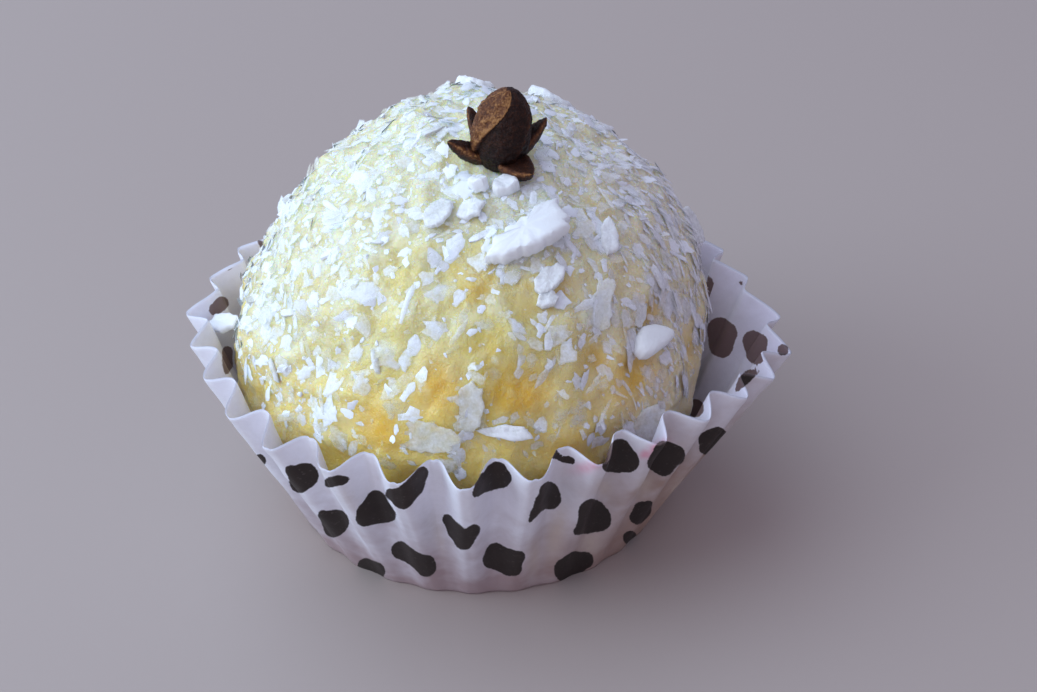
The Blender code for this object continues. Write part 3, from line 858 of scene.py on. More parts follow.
def pastePoint(angle, polar, fine=0.0):
    # a point on the lumpy skin, pressed into the folds of the case lower down
    s = pasteSettings
    direction = pasteDirection(angle, polar)
    across = math.hypot(direction.x, direction.y)
    tall, power = (s["crown"], s["crownPower"]) if direction.z > 0 else (s["belly"], s["bellyPower"])
    reach = ((across / s["radius"]) ** power + (abs(direction.z) / tall) ** power) ** (-1 / power)
    skin = direction * s["radius"]
    reach += s["lump"] * noise.noise(skin / s["lumpSpacing"] + Vector(s["lumpPlace"]))
    for roundAt, downAt, height, spread in s["swells"]:
        away = math.degrees(direction.angle(pasteDirection(roundAt, downAt)))
        reach += height * math.exp(-(away / spread) ** 2)
    if fine:
        coat = rise(-direction.x, -0.2, 1.0) + max(0.0, direction.z - 0.6)  # rougher under the thick coat
        reach += fine * (1 + coat) * noise.fractal(skin / s["fineSpacing"], 0.8, 2.0, 3)
        reach += s["middleLump"] * noise.noise(skin / s["middleSpacing"] + Vector(s["middlePlace"]))
    point = Vector(s["centre"]) + direction * reach
    point.z = max(point.z, caseSettings["paper"] * 1.5 + s["clearance"])
    around = math.degrees(math.atan2(point.y, point.x))
    share = point.z / rimHeight(around, foldAt(around))
    if share < 1:
        fold = foldAt(around) * s["followsFolds"] - (1 - s["followsFolds"])
        limit = wallMiddle(around, share) + foldReach(share) * fold - caseSettings["paper"] - s["clearance"]
        limit -= s["rimGap"] * share
        flat = math.hypot(point.x, point.y)
        if flat > limit:
            point.x *= limit / flat
            point.y *= limit / flat
    return point


def pasteNormal(angle, polar):
    along = pastePoint(angle + 1, polar) - pastePoint(angle - 1, polar)
    down = pastePoint(angle, polar + 1) - pastePoint(angle, polar - 1)
    return down.cross(along).normalized()


pasteLook = {
    "yellows": ((0.34, (0.71, 0.50, 0.06)), (0.48, (0.75, 0.62, 0.17)), (0.64, (0.79, 0.71, 0.30))),
    # shady is a painted shade tint for the side away from the window
    "dusted": (0.84, 0.81, 0.50), "shady": (0.75, 0.61, 0.45), "sunk": (0.92, 0.68, 0.16),
    "pit": (0.80, 0.46, 0.015), "plate": (0.81, 0.79, 0.50), "dustedPlate": (0.84, 0.87, 0.76),
    # scale of the plates under the skin, and how few there are
    "plates": ((620.0, 0.50), (1150.0, 0.55), (2300.0, 0.62)),
    # scale, detail and roughness of each noise
    "broad": (230.0,), "small": (1500.0, 4.0, 0.6), "wobble": (1900.0,), "cloudy": (1000.0, 5.0, 0.7),
    "specks": (6500.0, 2.0, 0.6), "wobbleReach": 0.0011,
    "roughness": 0.32, "glow": 0.7, "glowDepth": 0.0008, "coat": 0.2, "coatRoughness": 0.3,
    "bump": 0.00020,
}


def makePasteMaterial():
    look = pasteLook
    material, tree, shader = newMaterial("condensedMilkPaste")
    place = objectPlace(tree)
    small = noiseOf(tree, place, *look["small"])
    dust = attributeOf(tree, "dusting")
    shady = times(tree, attributeOf(tree, "upright"), 0.75)
    sunk = times(tree, attributeOf(tree, "sunk"), oneMinus(tree, shady))
    yellow = rampOf(tree, noiseOf(tree, place, *look["broad"]), look["yellows"])
    yellow = mixColours(tree, mapRange(tree, dust, 0.25, 0.95, 0.0, 0.7), yellow, look["dusted"])
    # painted shade: the side away from the window is tinted mauve amber
    yellow = mixColours(tree, shady, yellow, look["shady"])
    yellow = mixColours(tree, times(tree, sunk, 0.75), yellow, look["sunk"])
    yellow = mixColours(tree, attributeOf(tree, "pit"), yellow, look["pit"])

    # pieces of coconut that lie under the skin show as paler plates
    wobble = noiseOf(tree, place, *look["wobble"], output="Color")
    wobble = vectorMaths(tree, "SUBTRACT", wobble, (0.5, 0.5, 0.5))
    bent = vectorMaths(tree, "ADD", place, vectorMaths(tree, "SCALE", wobble, look["wobbleReach"]))
    plates = None
    for scale, share in look["plates"]:
        cell, rim = (
            addNode(tree, "ShaderNodeTexVoronoi", {"Vector": bent, "Scale": scale}, feature=feature)
            for feature in ("F1", "DISTANCE_TO_EDGE")
        )
        pick = addNode(tree, "ShaderNodeSeparateColor", (cell.outputs["Color"],)).outputs[0]
        chosen = mapRange(tree, plus(tree, pick, times(tree, dust, 0.35)), share + 0.2, share + 0.5)
        solid = times(tree, chosen, mapRange(tree, rim.outputs["Distance"], 0.03, 0.22))
        plates = solid if plates is None else maths(tree, "MAXIMUM", plates, solid)
    cloudy = mapRange(tree, noiseOf(tree, place, *look["cloudy"]), 0.46, 0.62)
    plates = maths(tree, "MAXIMUM", plates, times(tree, cloudy, 0.75))
    specks = mapRange(tree, noiseOf(tree, place, *look["specks"]), 0.56, 0.68)
    plates = maths(tree, "MAXIMUM", plates, times(tree, specks, 0.7))
    pale = times(tree, plates, mapRange(tree, dust, 0.0, 0.8, 0.38, 0.62))
    pale = times(tree, pale, oneMinus(tree, times(tree, sunk, 0.4)))
    whiter = mixColours(tree, mapRange(tree, dust, 0.15, 0.8), look["plate"], look["dustedPlate"])
    relief = plus(tree, times(tree, plates, 0.45), times(tree, small, 0.8))
    setShader(tree, shader, {
        "Base Color": mixColours(tree, pale, yellow, whiter), "Roughness": look["roughness"],
        "Subsurface Weight": look["glow"], "Subsurface Radius": (1.0, 0.75, 0.25),
        "Subsurface Scale": look["glowDepth"], "Coat Weight": look["coat"],
        "Coat Roughness": look["coatRoughness"], "Normal": bumpOf(tree, relief, 0.6, look["bump"]),
    })
    return material


# where coconut lies thickly on the paste: each grows from 0 to 1 from a start over a width, in metres along
# +X or +Z. "leftwards" counts along -X, and "downwards" and "sunk" along -Z
coverSettings = {
    "leftwards": (0.003, 0.010), "up": (0.014, 0.010), "top": (0.0215, 0.004), "downwards": (-0.0190, 0.003),
    "sunk": (-0.0168, 0.0035), "shady": (0.003, 0.007), "upright": (0.002, 0.008),
    "inCase": (0.86, 0.1),  # shares of the rim's height
    "bareX": (0.001, 0.0085), "bareZ": (0.0160, 0.0050),
    "patchSpacing": 0.0032, "patchPlace": (1.7, 0.2, 9.1), "roundClove": 0.0022,
}
# how much each adds to the dusting
dustingShares = {"all": 0.30, "left": 0.50, "high": 0.55, "top": 0.30, "patch": 0.4, "bare": 0.58, "pit": 0.5}


def dustingAt(point, normal):
    c, d = coverSettings, dustingShares
    patch = noise.noise(point / c["patchSpacing"] + Vector(c["patchPlace"]))
    bare = math.exp(-((point.x + c["bareX"][0]) / c["bareX"][1]) ** 2
                    - ((point.z - c["bareZ"][0]) / c["bareZ"][1]) ** 2) * max(0.0, -normal.y)
    return (
        d["all"] + d["left"] * rise(-point.x, *c["leftwards"]) + d["high"] * rise(point.z, *c["up"])
        + d["top"] * rise(point.z, *c["top"]) + d["patch"] * patch - d["bare"] * bare
    )


def makePaste():
    s = pasteSettings
    rows, columns = s["rows"], s["columns"]
    points = [pastePoint(360 * i / columns, 180 * row / rows, s["fineLump"])
              for row in range(1, rows) for i in range(columns)]
    points += [pastePoint(0, 0, s["fineLump"]), pastePoint(0, 180)]
    mesh = meshFrom("pasteBall", points, [tuple(reversed(f)) for f in ringFaces(rows - 1, columns)])
    outwards(mesh)
    normals = np.empty(len(mesh.vertices) * 3)
    mesh.vertex_normals.foreach_get("vector", normals)
    normals = normals.reshape(-1, 3)
    names = ("dusting", "flakeCover", "shredCover", "crumbCover", "upright", "pit", "sunk")
    cover = {name: [] for name in names}
    pits = [(pasteDirection(turn, down), reach, strength) for turn, down, reach, strength in s["pits"]]
    foot = cloveFrame().translation
    c = coverSettings
    for vert, normal in zip(mesh.vertices, normals):
        point = vert.co
        outward = point - Vector(s["centre"])
        pit = max(strength * math.exp(-(math.degrees(outward.angle(way)) / reach) ** 2)
                  for way, reach, strength in pits)
        dusting = dustingAt(point, Vector(normal)) - dustingShares["pit"] * pit
        around = math.degrees(math.atan2(point.y, point.x)) % 360
        free = rise(point.z / rimHeight(around, -1), *c["inCase"])
        free *= (1.0 if (point - foot).length > c["roundClove"] else 0.0) * (1 - 0.9 * pit)
        shady = rise(point.x, *c["shady"])
        low = rise(-point.z, *c["downwards"]) * (point.y < 0)
        cover["dusting"].append(max(0.0, min(1.0, dusting)))
        cover["flakeCover"].append(free * (0.75 + 0.25 * max(shady, rise(point.z, *c["top"]), low)))
        cover["shredCover"].append(free * (0.14 + 0.86 * shady))
        cover["crumbCover"].append(free * max(0.42, min(1.0, dusting + 0.20)))
        cover["pit"].append(pit)
        cover["sunk"].append(rise(-point.z, *c["sunk"]))
        cover["upright"].append(rise(point.x, *c["upright"]))
    for name, values in cover.items():
        storeFloats(mesh, name, values)
    mesh.materials.append(makePasteMaterial())
    return linkObject("pasteBall", mesh)


# Clove

cloveSettings = {
    "round": 289.0, "down": 15.0, "lean": 3.0, "nod": 8.0, "sink": 0.00035,
    "budRadius": 0.00162, "budHeight": 0.0046, "widest": 0.38, "tipShift": 0.00035,
    "petals": 4, "petalTwist": 90.0, "petalStart": 29.0, "petalStep": 0.17,
    "stalkDepth": 0.0006, "budRows": 90, "budColumns": 144, "lobeRows": 34, "lobeColumns": 24,
    # petalLightAndShade is painted light and shade: lighter for the two petals on the window side, darker for
    # the two on the far side
    "petalLightAndShade": (0.75, 0.80, 0.28, 0.20), "lip": 0.05, "lipWidth": 0.10,
    "wrinkles": 0.00009, "wrinkleSpacing": 0.00032, "poreSpacing": 0.00013, "porePlace": (4, 1, 7),
    "lobeWrinkles": 0.00010, "lobeRoot": 0.0004, "lobeFoot": 0.00015, "lobeThickness": 0.00052,
    "lobeEdge": 0.00003, "lobeDish": 0.42, "lobeCurl": 0.0006,
    # angle round, reach, width, rise of the tip, curl of the tip
    "lobes": (
        (197, 0.0029, 0.0014, 0.0015, 0.0), (308, 0.0031, 0.0020, 0.0003, 0.5),
        (22, 0.0028, 0.0014, 0.0019, 0.2), (130, 0.0028, 0.0014, 0.0017, 0.1),
    ),
}


def cloveFrame():
    s = cloveSettings
    foot = pastePoint(s["round"], s["down"])
    lean = Matrix.Rotation(math.radians(s["lean"]), 4, "Y")
    nod = Matrix.Rotation(math.radians(s["nod"]), 4, "X")
    return Matrix.Translation(foot - Vector((0, 0, s["sink"]))) @ nod @ lean


def barkRelief(point, height):
    s = cloveSettings
    grain = noise.fractal(point / s["wrinkleSpacing"], 0.9, 2.1, 3)
    pores = noise.noise(point / s["poreSpacing"] + Vector(s["porePlace"]))
    return height * (0.7 * grain + 0.3 * pores)


def budRadiusAt(share):
    widest = cloveSettings["widest"]
    if share < widest:
        return 1 - 0.26 * ((widest - share) / widest) ** 2.2
    across = (share - widest) / (1.0 - widest)
    return max(0.0, 1 - across**2.3) ** 0.66


def makeBud():
    s = cloveSettings
    points, tones = [], []
    for row in range(s["budRows"]):
        share = row / s["budRows"]
        for i in range(s["budColumns"]):
            turn = 360 * i / s["budColumns"]
            x, y = onCircle(turn)
            petal = ((turn - s["petalStart"] - s["petalTwist"] * share**2) * s["petals"] / 360) % s["petals"]
            part = petal % 1
            step = s["petalStep"] * (part - 0.5) * math.sin(math.pi * min(1, share * 1.25 + 0.12))
            lip = s["lip"] * math.exp(-((1 - part) / s["lipWidth"]) ** 2)
            radius = s["budRadius"] * budRadiusAt(share) * (1 + step + lip * share)
            drift = s["tipShift"] * share**1.5
            point = Vector((radius * x + drift, radius * y, s["budHeight"] * share))
            points.append(point + Vector((x, y, 0.3)) * barkRelief(point, s["wrinkles"]))
            # painted light and shade: each petal's tone follows its side towards or away from the window; the
            # tone darkens towards the foot and each petal's lip is lighter
            tone = s["petalLightAndShade"][int(petal)] * min(1, 0.3 + 1.6 * share)
            tones.append(tone + 0.25 * lip / s["lip"])
    top = Vector((s["tipShift"], 0, s["budHeight"] * 0.995))
    points += [Vector((0, 0, -s["stalkDepth"])), top]
    mesh = outwards(meshFrom("bud", points, ringFaces(s["budRows"], s["budColumns"])))
    storeFloats(mesh, "tone", tones + [0.1, 0.4])
    return mesh


def makeLobe(angle, reach, width, climb, curl):
    # a thick pointed leaf along +X, rising to its tip, hollowed a little on its upper face
    s = cloveSettings
    rows, columns, root = s["lobeRows"], s["lobeColumns"], s["lobeRoot"]
    points, tones = [], []
    for row in range(rows):
        share = row / (rows - 1)
        rounding = (1 - share**5) ** 0.6
        half = width / 2 * (1 - 0.45 * share**2) * rounding
        half = half * (0.75 + 0.25 * math.sin(math.pi * share)) + s["lobeEdge"]
        thick = s["lobeThickness"] * (1 - 0.3 * share) * rounding + s["lobeEdge"]
        x = root + (reach - root) * (share - 0.12 * curl * share**4)
        z = s["lobeFoot"] + climb * share**1.7 + curl * s["lobeCurl"] * share**5
        slope = math.atan2(climb * 1.7 * share**0.7, reach)
        for i in range(columns):
            turn = 2 * math.pi * i / columns
            across, up = math.cos(turn), math.sin(turn)
            lift = thick * up + s["lobeDish"] * half * across**2
            point = Vector((x - lift * math.sin(slope), half * across, z + lift * math.cos(slope)))
            relief = barkRelief(point * 1.1, s["lobeWrinkles"])
            points.append(point + Vector((-math.sin(slope), 0.3 * across, math.cos(slope))) * relief)
            # painted highlights along the lobe's rims and on its upper face near the root; the tone also
            # rises towards the tip
            edge, shine = 0.55 * abs(across) ** 6, 0.35 * max(0.0, up) * (1 - share)
            tones.append(0.18 + edge + shine + 0.25 * share**4)
    points += [Vector((root, 0, s["lobeFoot"])), sum(points[-columns:], Vector()) / columns]
    mesh = outwards(meshFrom("lobe", points, ringFaces(rows, columns)))
    storeFloats(mesh, "tone", tones + [0.1, 0.5])
    mesh.transform(Matrix.Rotation(math.radians(angle), 4, "Z"))
    return mesh


def joinMeshes(name, meshes, material):
    # joins meshes with their attributes into one object
    things = [linkObject(name, mesh) for mesh in meshes]
    with bpy.context.temp_override(active_object=things[0], selected_editable_objects=things):
        bpy.ops.object.join()
    things[0].data.materials.clear()
    things[0].data.materials.append(material)
    return things[0]


cloveLook = {
    "browns": (
        (0.0, (0.006, 0.002, 0.0015)), (0.30, (0.020, 0.006, 0.003)), (0.55, (0.055, 0.017, 0.007)),
        (0.8, (0.14, 0.048, 0.016)), (1.0, (0.34, 0.16, 0.055)),
    ),
    # scale, detail and roughness of each noise, and how far it changes the tone
    "grain": (2600.0, 4.0, 0.7), "sand": (9000.0, 2.0, 0.6), "patch": (700.0, 2.0),
    "changes": (0.9, 0.8, 0.4), "roughness": 0.5, "specular": 0.22, "bump": 0.00014,
}


def makeCloveMaterial():
    material, tree, shader = newMaterial("driedClove")
    place = objectPlace(tree)
    grain, sand, patch = (noiseOf(tree, place, *cloveLook[name]) for name in ("grain", "sand", "patch"))
    level = attributeOf(tree, "tone")
    for rough, change in zip((grain, sand, patch), cloveLook["changes"]):
        level = plus(tree, level, swing(tree, rough, change))
    relief = plus(tree, grain, times(tree, sand, 0.6))
    setShader(tree, shader, {
        "Base Color": rampOf(tree, level, cloveLook["browns"]), "Roughness": cloveLook["roughness"],
        "Specular IOR Level": cloveLook["specular"],
        "Normal": bumpOf(tree, relief, 0.9, cloveLook["bump"]),
    })
    return material


def makeClove():
    lobes = [makeLobe(*lobe) for lobe in cloveSettings["lobes"]]
    clove = joinMeshes("cloveBud", [makeBud()] + lobes, makeCloveMaterial())
    clove.data.transform(cloveFrame())
    return clove


pasteBall = makePaste()
print("paste:", len(pasteBall.data.polygons), "faces")
cloveBud = makeClove()
print("clove:", len(cloveBud.data.polygons), "faces")


# Coconut, scattered over the paste

chipSharp = 50  # degrees


def chipMesh(outline, thickness, draw, bend=0.0, cup=0.0):
    # a chip with a thin edge, thicker further in, flat underneath
    count = len(outline)
    inner = draw.uniform(0.72, 0.86)
    points = [(x, y, bend * x * x + cup * y * y) for x, y in outline]
    for x, y in outline:
        x, y = x * inner, y * inner
        points.append((x, y, bend * x * x + cup * y * y + thickness * draw.uniform(0.35, 0.6)))
    points.append((draw.uniform(-0.1, 0.1) * outline[0][0], 0, thickness * draw.uniform(0.4, 0.7)))
    points.append((0, 0, -thickness * 0.4))
    faces = []
    for i in range(count):
        j = (i + 1) % count
        faces.append((i, j, count + j, count + i))
        faces.append((count + i, count + j, 2 * count))
        faces.append((2 * count + 1, j, i))
    mesh = meshFrom("chip", points, faces)
    storeFloats(mesh, "rimFade", [1.0] * count + [0.0] * (count + 2))
    mesh = outwards(mesh)
    mesh.set_sharp_from_angle(angle=math.radians(chipSharp))
    return mesh


# metres long, wide and thick, with the number of corners where it can change
chipSettings = {
    "flake": (0.0021, 0.0021, 0.00008, 11), "shred": (0.0025, 0.00054, 0.00012, 5),
    "stick": (0.0019, 0.00062, 0.00045), "crumb": (0.00014, 0.00036, 0.00012, 6),
    "stickOutline": (
        (-0.5, -0.35), (-0.2, -0.5), (0.25, -0.45), (0.5, -0.3), (0.5, 0.28), (0.2, 0.5), (-0.3, 0.45),
        (-0.48, 0.3),
    ),
    "clumpSize": 0.00040, "clumpCorners": 8, "clumpSpacing": 0.00045, "clumpSharp": 38,
    "clumpRings": ((0.8, -0.5), (1.0, 0.0), (0.72, 0.5)),
}


def flakeMesh(draw):
    # about 2 mm long, with a jagged edge
    length, widest, thick, count = chipSettings["flake"]
    width = widest * draw.uniform(0.42, 0.8)
    outline = []
    for turn in unevenTurns(draw, count, 0.35):
        reach = draw.uniform(0.6, 1.15)
        outline.append((length / 2 * reach * math.cos(turn), width / 2 * reach * math.sin(turn)))
    thickness = thick * draw.uniform(0.6, 1.5)
    return chipMesh(outline, thickness, draw, draw.uniform(-90, 60), draw.uniform(-60, 40))


def shredMesh(draw):
    # a curved strip, 2 to 3 mm long
    length, widest, thick, count = chipSettings["shred"]
    width = widest * draw.uniform(0.6, 1.5)
    curve = draw.uniform(-130, 130)
    upper, lower = [], []
    for i in range(count + 1):
        x = length * (i / count - 0.5)
        half = width / 2 * (1 - 0.6 * abs(2 * i / count - 1) ** 3) * draw.uniform(0.7, 1.3)
        upper.append((x, curve * x * x + half))
        lower.append((x, curve * x * x - half))
    return chipMesh(lower + upper[::-1], thick, draw, draw.uniform(-90, 60))


def stickMesh(draw):
    # a blunt oblong piece
    length, widest, thick = chipSettings["stick"]
    width = widest * draw.uniform(0.8, 1.2)
    outline = [(x * length * draw.uniform(0.9, 1.1), y * width * draw.uniform(0.85, 1.15))
               for x, y in chipSettings["stickOutline"]]
    return chipMesh(outline, thick, draw, draw.uniform(-60, 60))


def crumbMesh(draw):
    # a splinter of half a millimetre
    shortest, longest, thick, count = chipSettings["crumb"]
    outline = []
    for turn in unevenTurns(draw, count, 0.4):
        reach = draw.uniform(shortest, longest)
        outline.append((1.25 * reach * math.cos(turn), 0.8 * reach * math.sin(turn)))
    return chipMesh(outline, thick, draw)


def clumpMesh(draw):
    # an uneven grain of about a millimetre
    count, size = chipSettings["clumpCorners"], chipSettings["clumpSize"]
    salt = Vector((draw.uniform(0, 9), draw.uniform(0, 9), 0))
    points = []
    for reach, height in chipSettings["clumpRings"]:
        for turn in unevenTurns(draw, count, 0.3):
            point = Vector((1.25 * reach * math.cos(turn), reach * math.sin(turn), height)) * size
            lump = 0.8 * noise.noise(point / chipSettings["clumpSpacing"] + salt)
            points.append(point * (1 + lump + draw.uniform(-0.12, 0.12)))
    points += [Vector((0, 0, -0.6 * size)), Vector((0, 0, draw.uniform(0.55, 0.8) * size))]
    mesh = outwards(meshFrom("clump", points, ringFaces(3, count)))
    mesh.set_sharp_from_angle(angle=math.radians(chipSettings["clumpSharp"]))
    return mesh


# angle round, angle down, turn, tilt up, lift, thickness and shade, then the outline in millimetres, to the
# right and up the dome. The almond has the smooth outer side of the flesh
largePieces = {
    "wedge": (
        288, 35.5, 0, 20, 0.00035, 0.00070, 1.2,
        ((-2.4, -1.1), (-1.9, -0.6), (-1.75, -0.1), (-1.2, -0.15), (-0.95, 0.3), (-0.4, 0.25),
         (0.0, 0.65), (0.5, 0.6), (0.9, 1.15), (1.75, 1.5), (2.2, 1.45), (2.35, 0.6), (2.2, -0.45),
         (1.2, -1.05), (0.2, -1.4), (-0.9, -1.45), (-1.9, -1.35))),
    "almond": (
        317, 66, -18, 16, 0.00030, 0.00066, 1.1,
        ((-1.3, -0.5), (-1.05, 0.25), (-0.45, 0.75), (0.3, 0.72), (0.9, 0.48), (1.4, 0.12), (1.3, -0.2),
         (0.8, -0.5), (0.1, -0.75), (-0.6, -0.98), (-1.15, -0.9))),
    "flatFlake": (
        304, 54, 0, 0, 0.00006, 0.00016, 0.40,
        ((-1.2, 0.0), (-0.6, 0.45), (0.0, 0.7), (0.45, 1.35), (1.05, 1.25), (1.25, 0.75), (0.75, 0.2),
         (0.5, -0.5), (0.15, -1.2), (-0.35, -1.35), (-0.8, -0.8), (-1.25, -0.4))),
    "tallFlake": (
        317, 58.5, -25, 8, 0.00010, 0.00020, 0.75,
        ((-0.38, 0.5), (-0.1, 1.0), (0.35, 0.95), (0.42, 0.3), (0.36, -0.4), (0.05, -0.95), (-0.36, -0.8),
         (-0.42, -0.1))),
    "lowFlake": (
        311, 84, 10, 4, 0.00008, 0.00018, 0.4,
        ((-1.1, 0.6), (-0.2, 1.2), (0.8, 1.0), (1.2, 0.2), (0.8, -0.9), (-0.2, -1.2), (-0.9, -0.7))),
    "longFlake": (
        317, 42, 20, 16, 0.00018, 0.00040, 0.85,
        ((-1.0, -0.5), (-0.5, 0.2), (0.3, 0.7), (1.1, 0.75), (0.8, 0.2), (0.3, -0.4), (-0.5, -0.8))),
    "clearFlake": (
        260, 76, 4, 0, 0.00008, 0.00018, 0.25,
        ((-2.0, -0.1), (-1.4, 0.6), (-0.4, 0.85), (0.8, 0.75), (1.8, 0.45), (2.1, -0.1), (1.5, -0.7),
         (0.3, -0.9), (-1.0, -0.85), (-1.8, -0.6))),
    "clearOval": (
        269, 70, 0, 0, 0.00008, 0.00016, 0.35,
        ((-0.7, 0.2), (-0.4, 1.1), (0.2, 1.4), (0.75, 1.0), (0.85, 0.0), (0.55, -1.0), (0.0, -1.35),
         (-0.5, -0.9))),
    "wing": (
        276, 76, 0, 14, 0.00016, 0.00030, 0.8,
        ((-1.5, 0.35), (-0.6, 0.5), (0.5, 0.55), (1.3, 0.3), (1.4, -0.2), (0.6, -0.35), (-0.2, -0.1),
         (-0.9, 0.05))),
    "chipOne": (
        255, 30.5, 0, 12, 0.00012, 0.00022, 0.65,
        ((-0.8, -0.3), (-0.5, 0.6), (0.1, 1.0), (0.75, 0.7), (0.8, -0.2), (0.3, -1.0), (-0.4, -0.9))),
    "chipTwo": (
        268.5, 29, 15, 12, 0.00012, 0.00024, 0.75,
        ((-0.8, -0.2), (-0.3, 0.5), (0.5, 0.55), (0.85, 0.05), (0.4, -0.55), (-0.4, -0.6))),
    "oblong": (
        292, 46, 0, 10, 0.00008, 0.00040, 0.75,
        ((-0.95, -0.55), (-0.8, 0.1), (-0.2, 0.55), (0.7, 0.75), (0.95, 0.35), (0.75, -0.25),
         (0.0, -0.65), (-0.6, -0.85))),
    "oblongLow": (
        290, 50, -10, 8, 0.00008, 0.00040, 0.7,
        ((-0.6, -0.25), (-0.4, 0.25), (0.4, 0.4), (0.65, 0.0), (0.4, -0.35), (-0.3, -0.45))),
    "crumbFront": (
        273, 23.5, 0, 20, 0.00015, 0.00060, 1.1,
        ((-0.55, -0.1), (-0.3, 0.3), (0.25, 0.35), (0.55, 0.0), (0.3, -0.35), (-0.3, -0.35))),
    "crumbCorner": (
        286, 24.3, 0, 12, 0.00012, 0.00055, 1.1,
        ((-0.75, -0.2), (-0.5, 0.4), (0.1, 0.5), (0.7, 0.3), (0.75, -0.25), (0.1, -0.5), (-0.5, -0.45))),
    "edgeFlake": (
        185, 83, -10, 55, 0.00085, 0.00030, 1.0,
        ((-0.9, -0.9), (-0.7, 0.2), (-0.1, 1.0), (0.6, 0.9), (0.9, 0.1), (0.5, -0.8), (-0.2, -1.2))),
    "topMound": (
        92, 29, 8, 8, -0.00012, 0.00085, 1.0,
        ((-1.1, -0.4), (-0.9, 0.3), (-0.3, 0.75), (0.4, 0.8), (1.0, 0.45), (1.2, -0.3), (0.4, -0.7),
         (-0.6, -0.7))),
    "backSlab": (
        62, 38, 15, 10, 0.00016, 0.00060, 0.95,
        ((-1.5, -0.4), (-0.9, 0.6), (0.1, 0.9), (1.1, 0.6), (1.5, -0.2), (0.6, -0.9), (-0.7, -0.85))),
    "backFlake": (
        120, 58, 0, 4, 0.00006, 0.00034, 0.6,
        ((-1.1, 0.4), (-0.3, 1.2), (0.7, 1.0), (1.1, 0.0), (0.5, -1.0), (-0.5, -1.1))),
    "sideFlake": (
        8, 62, 0, 8, 0.00010, 0.00036, 0.7,
        ((-0.8, 0.6), (0.0, 1.4), (0.7, 0.9), (0.8, -0.3), (0.2, -1.3), (-0.6, -0.9))),
}
largeSettings = {
    "corners": 80, "seed": 77, "sharp": 60, "turnedLeft": 14, "smooth": 0.12,
    "jag": 0.02, "wave": 0.16, "waveSpacing": 0.0004, "relief": 0.00010, "reliefSpacing": 0.0005,
    "domeReach": 0.026,  # twice the radius that the slab bends to
    # rings from the edge inwards: reach, height
    "softRings": (
        (1.0, -0.25), (1.03, 0.25), (0.97, 0.62), (0.88, 0.84), (0.74, 0.95), (0.55, 1.0), (0.32, 1.02),
    ),
    "brokenRings": (
        (0.96, -0.3), (1.02, 0.35), (1.0, 0.82), (0.95, 0.98), (0.80, 1.04), (0.58, 1.0), (0.30, 0.98),
    ),
}


def largeMesh(outline, thickness, roughness, draw):
    # a slab built in rings, with a ragged edge, a rough top and a flat underside
    s = largeSettings
    count = s["corners"]
    corners = [Vector((x, y)) * 0.001 for x, y in outline]
    middle = sum(corners, Vector((0, 0))) / len(corners)
    closed = corners + corners[:1]
    sides = [(b - a).length for a, b in zip(closed, closed[1:])]
    marks = np.concatenate(([0.0], np.cumsum(sides)))
    steps = np.linspace(0, marks[-1], count, endpoint=False)
    xs, ys = (np.interp(steps, marks, [corner[axis] for corner in closed]) for axis in (0, 1))
    ragged = [1 + roughness * (s["jag"] * draw.uniform(-1, 1)
                               + s["wave"] * noise.noise(Vector((x, y, 0)) / s["waveSpacing"]))
              for x, y in zip(xs, ys)]
    salt = Vector((draw.uniform(0, 9), draw.uniform(0, 9), 0))
    relief = min(s["relief"], 0.25 * thickness)
    rings = s["brokenRings"] if roughness > 0.5 else s["softRings"]
    points = []
    for share, height in rings:
        for x, y, rag in zip(xs, ys, ragged):
            flat = middle + (Vector((x, y)) * (1 + (rag - 1) * share**6) - middle) * share
            spot = Vector((flat.x, flat.y, height * thickness))
            rough = noise.fractal(spot / s["reliefSpacing"] + salt, 0.8, 2.0, 4)
            fall = (flat.x**2 + flat.y**2) / s["domeReach"]
            points.append((flat.x, flat.y, thickness * height + rough * roughness * relief - fall))
    points += [(middle.x, middle.y, -thickness * 0.3), (middle.x, middle.y, thickness * 1.02)]
    return outwards(meshFrom("slab", points, ringFaces(len(rings), count)))


def makeLarge():
    s = largeSettings
    draw = random.Random(s["seed"])
    meshes = []
    for name, (turn, down, spin, tilt, lift, thickness, shade, outline) in largePieces.items():
        mesh = largeMesh(outline, thickness, s["smooth"] if name == "almond" else 1.0, draw)
        normal = pasteNormal(turn, down)
        right = Vector((0, 0, 1)).cross(normal).normalized()
        place = Matrix.Translation(pastePoint(turn, down) + normal * lift)
        place @= Matrix((right, normal.cross(right), normal)).transposed().to_4x4()
        turned, tilted = (Matrix.Rotation(math.radians(angle), 4, axis)
                          for angle, axis in ((-s["turnedLeft"], "Y"), (-tilt, "X")))
        place @= Matrix.Rotation(math.radians(spin), 4, "Z")
        place @= turned @ tilted
        mesh.transform(place)
        upright = max(0.0, math.cos(math.radians(turn)) - 0.2)
        for label, value in (("shade", shade), ("dusting", 0.5), ("upright", upright)):
            storeFloats(mesh, label, [value] * len(mesh.vertices))
        meshes.append(mesh)
    large = joinMeshes("coconutLarge", meshes, makeCoconut("coconutChunk", coconutLook["chunkGlow"], 0.7))
    large.data.set_sharp_from_angle(angle=math.radians(s["sharp"]))
    return large


def makeVariants(name, makeOne, count, seed):
    draw = random.Random(seed)
    collection = bpy.data.collections.new(name)
    for i in range(count):
        linkObject(f"{name}Variant{i}", makeOne(draw), collection)
    return collection


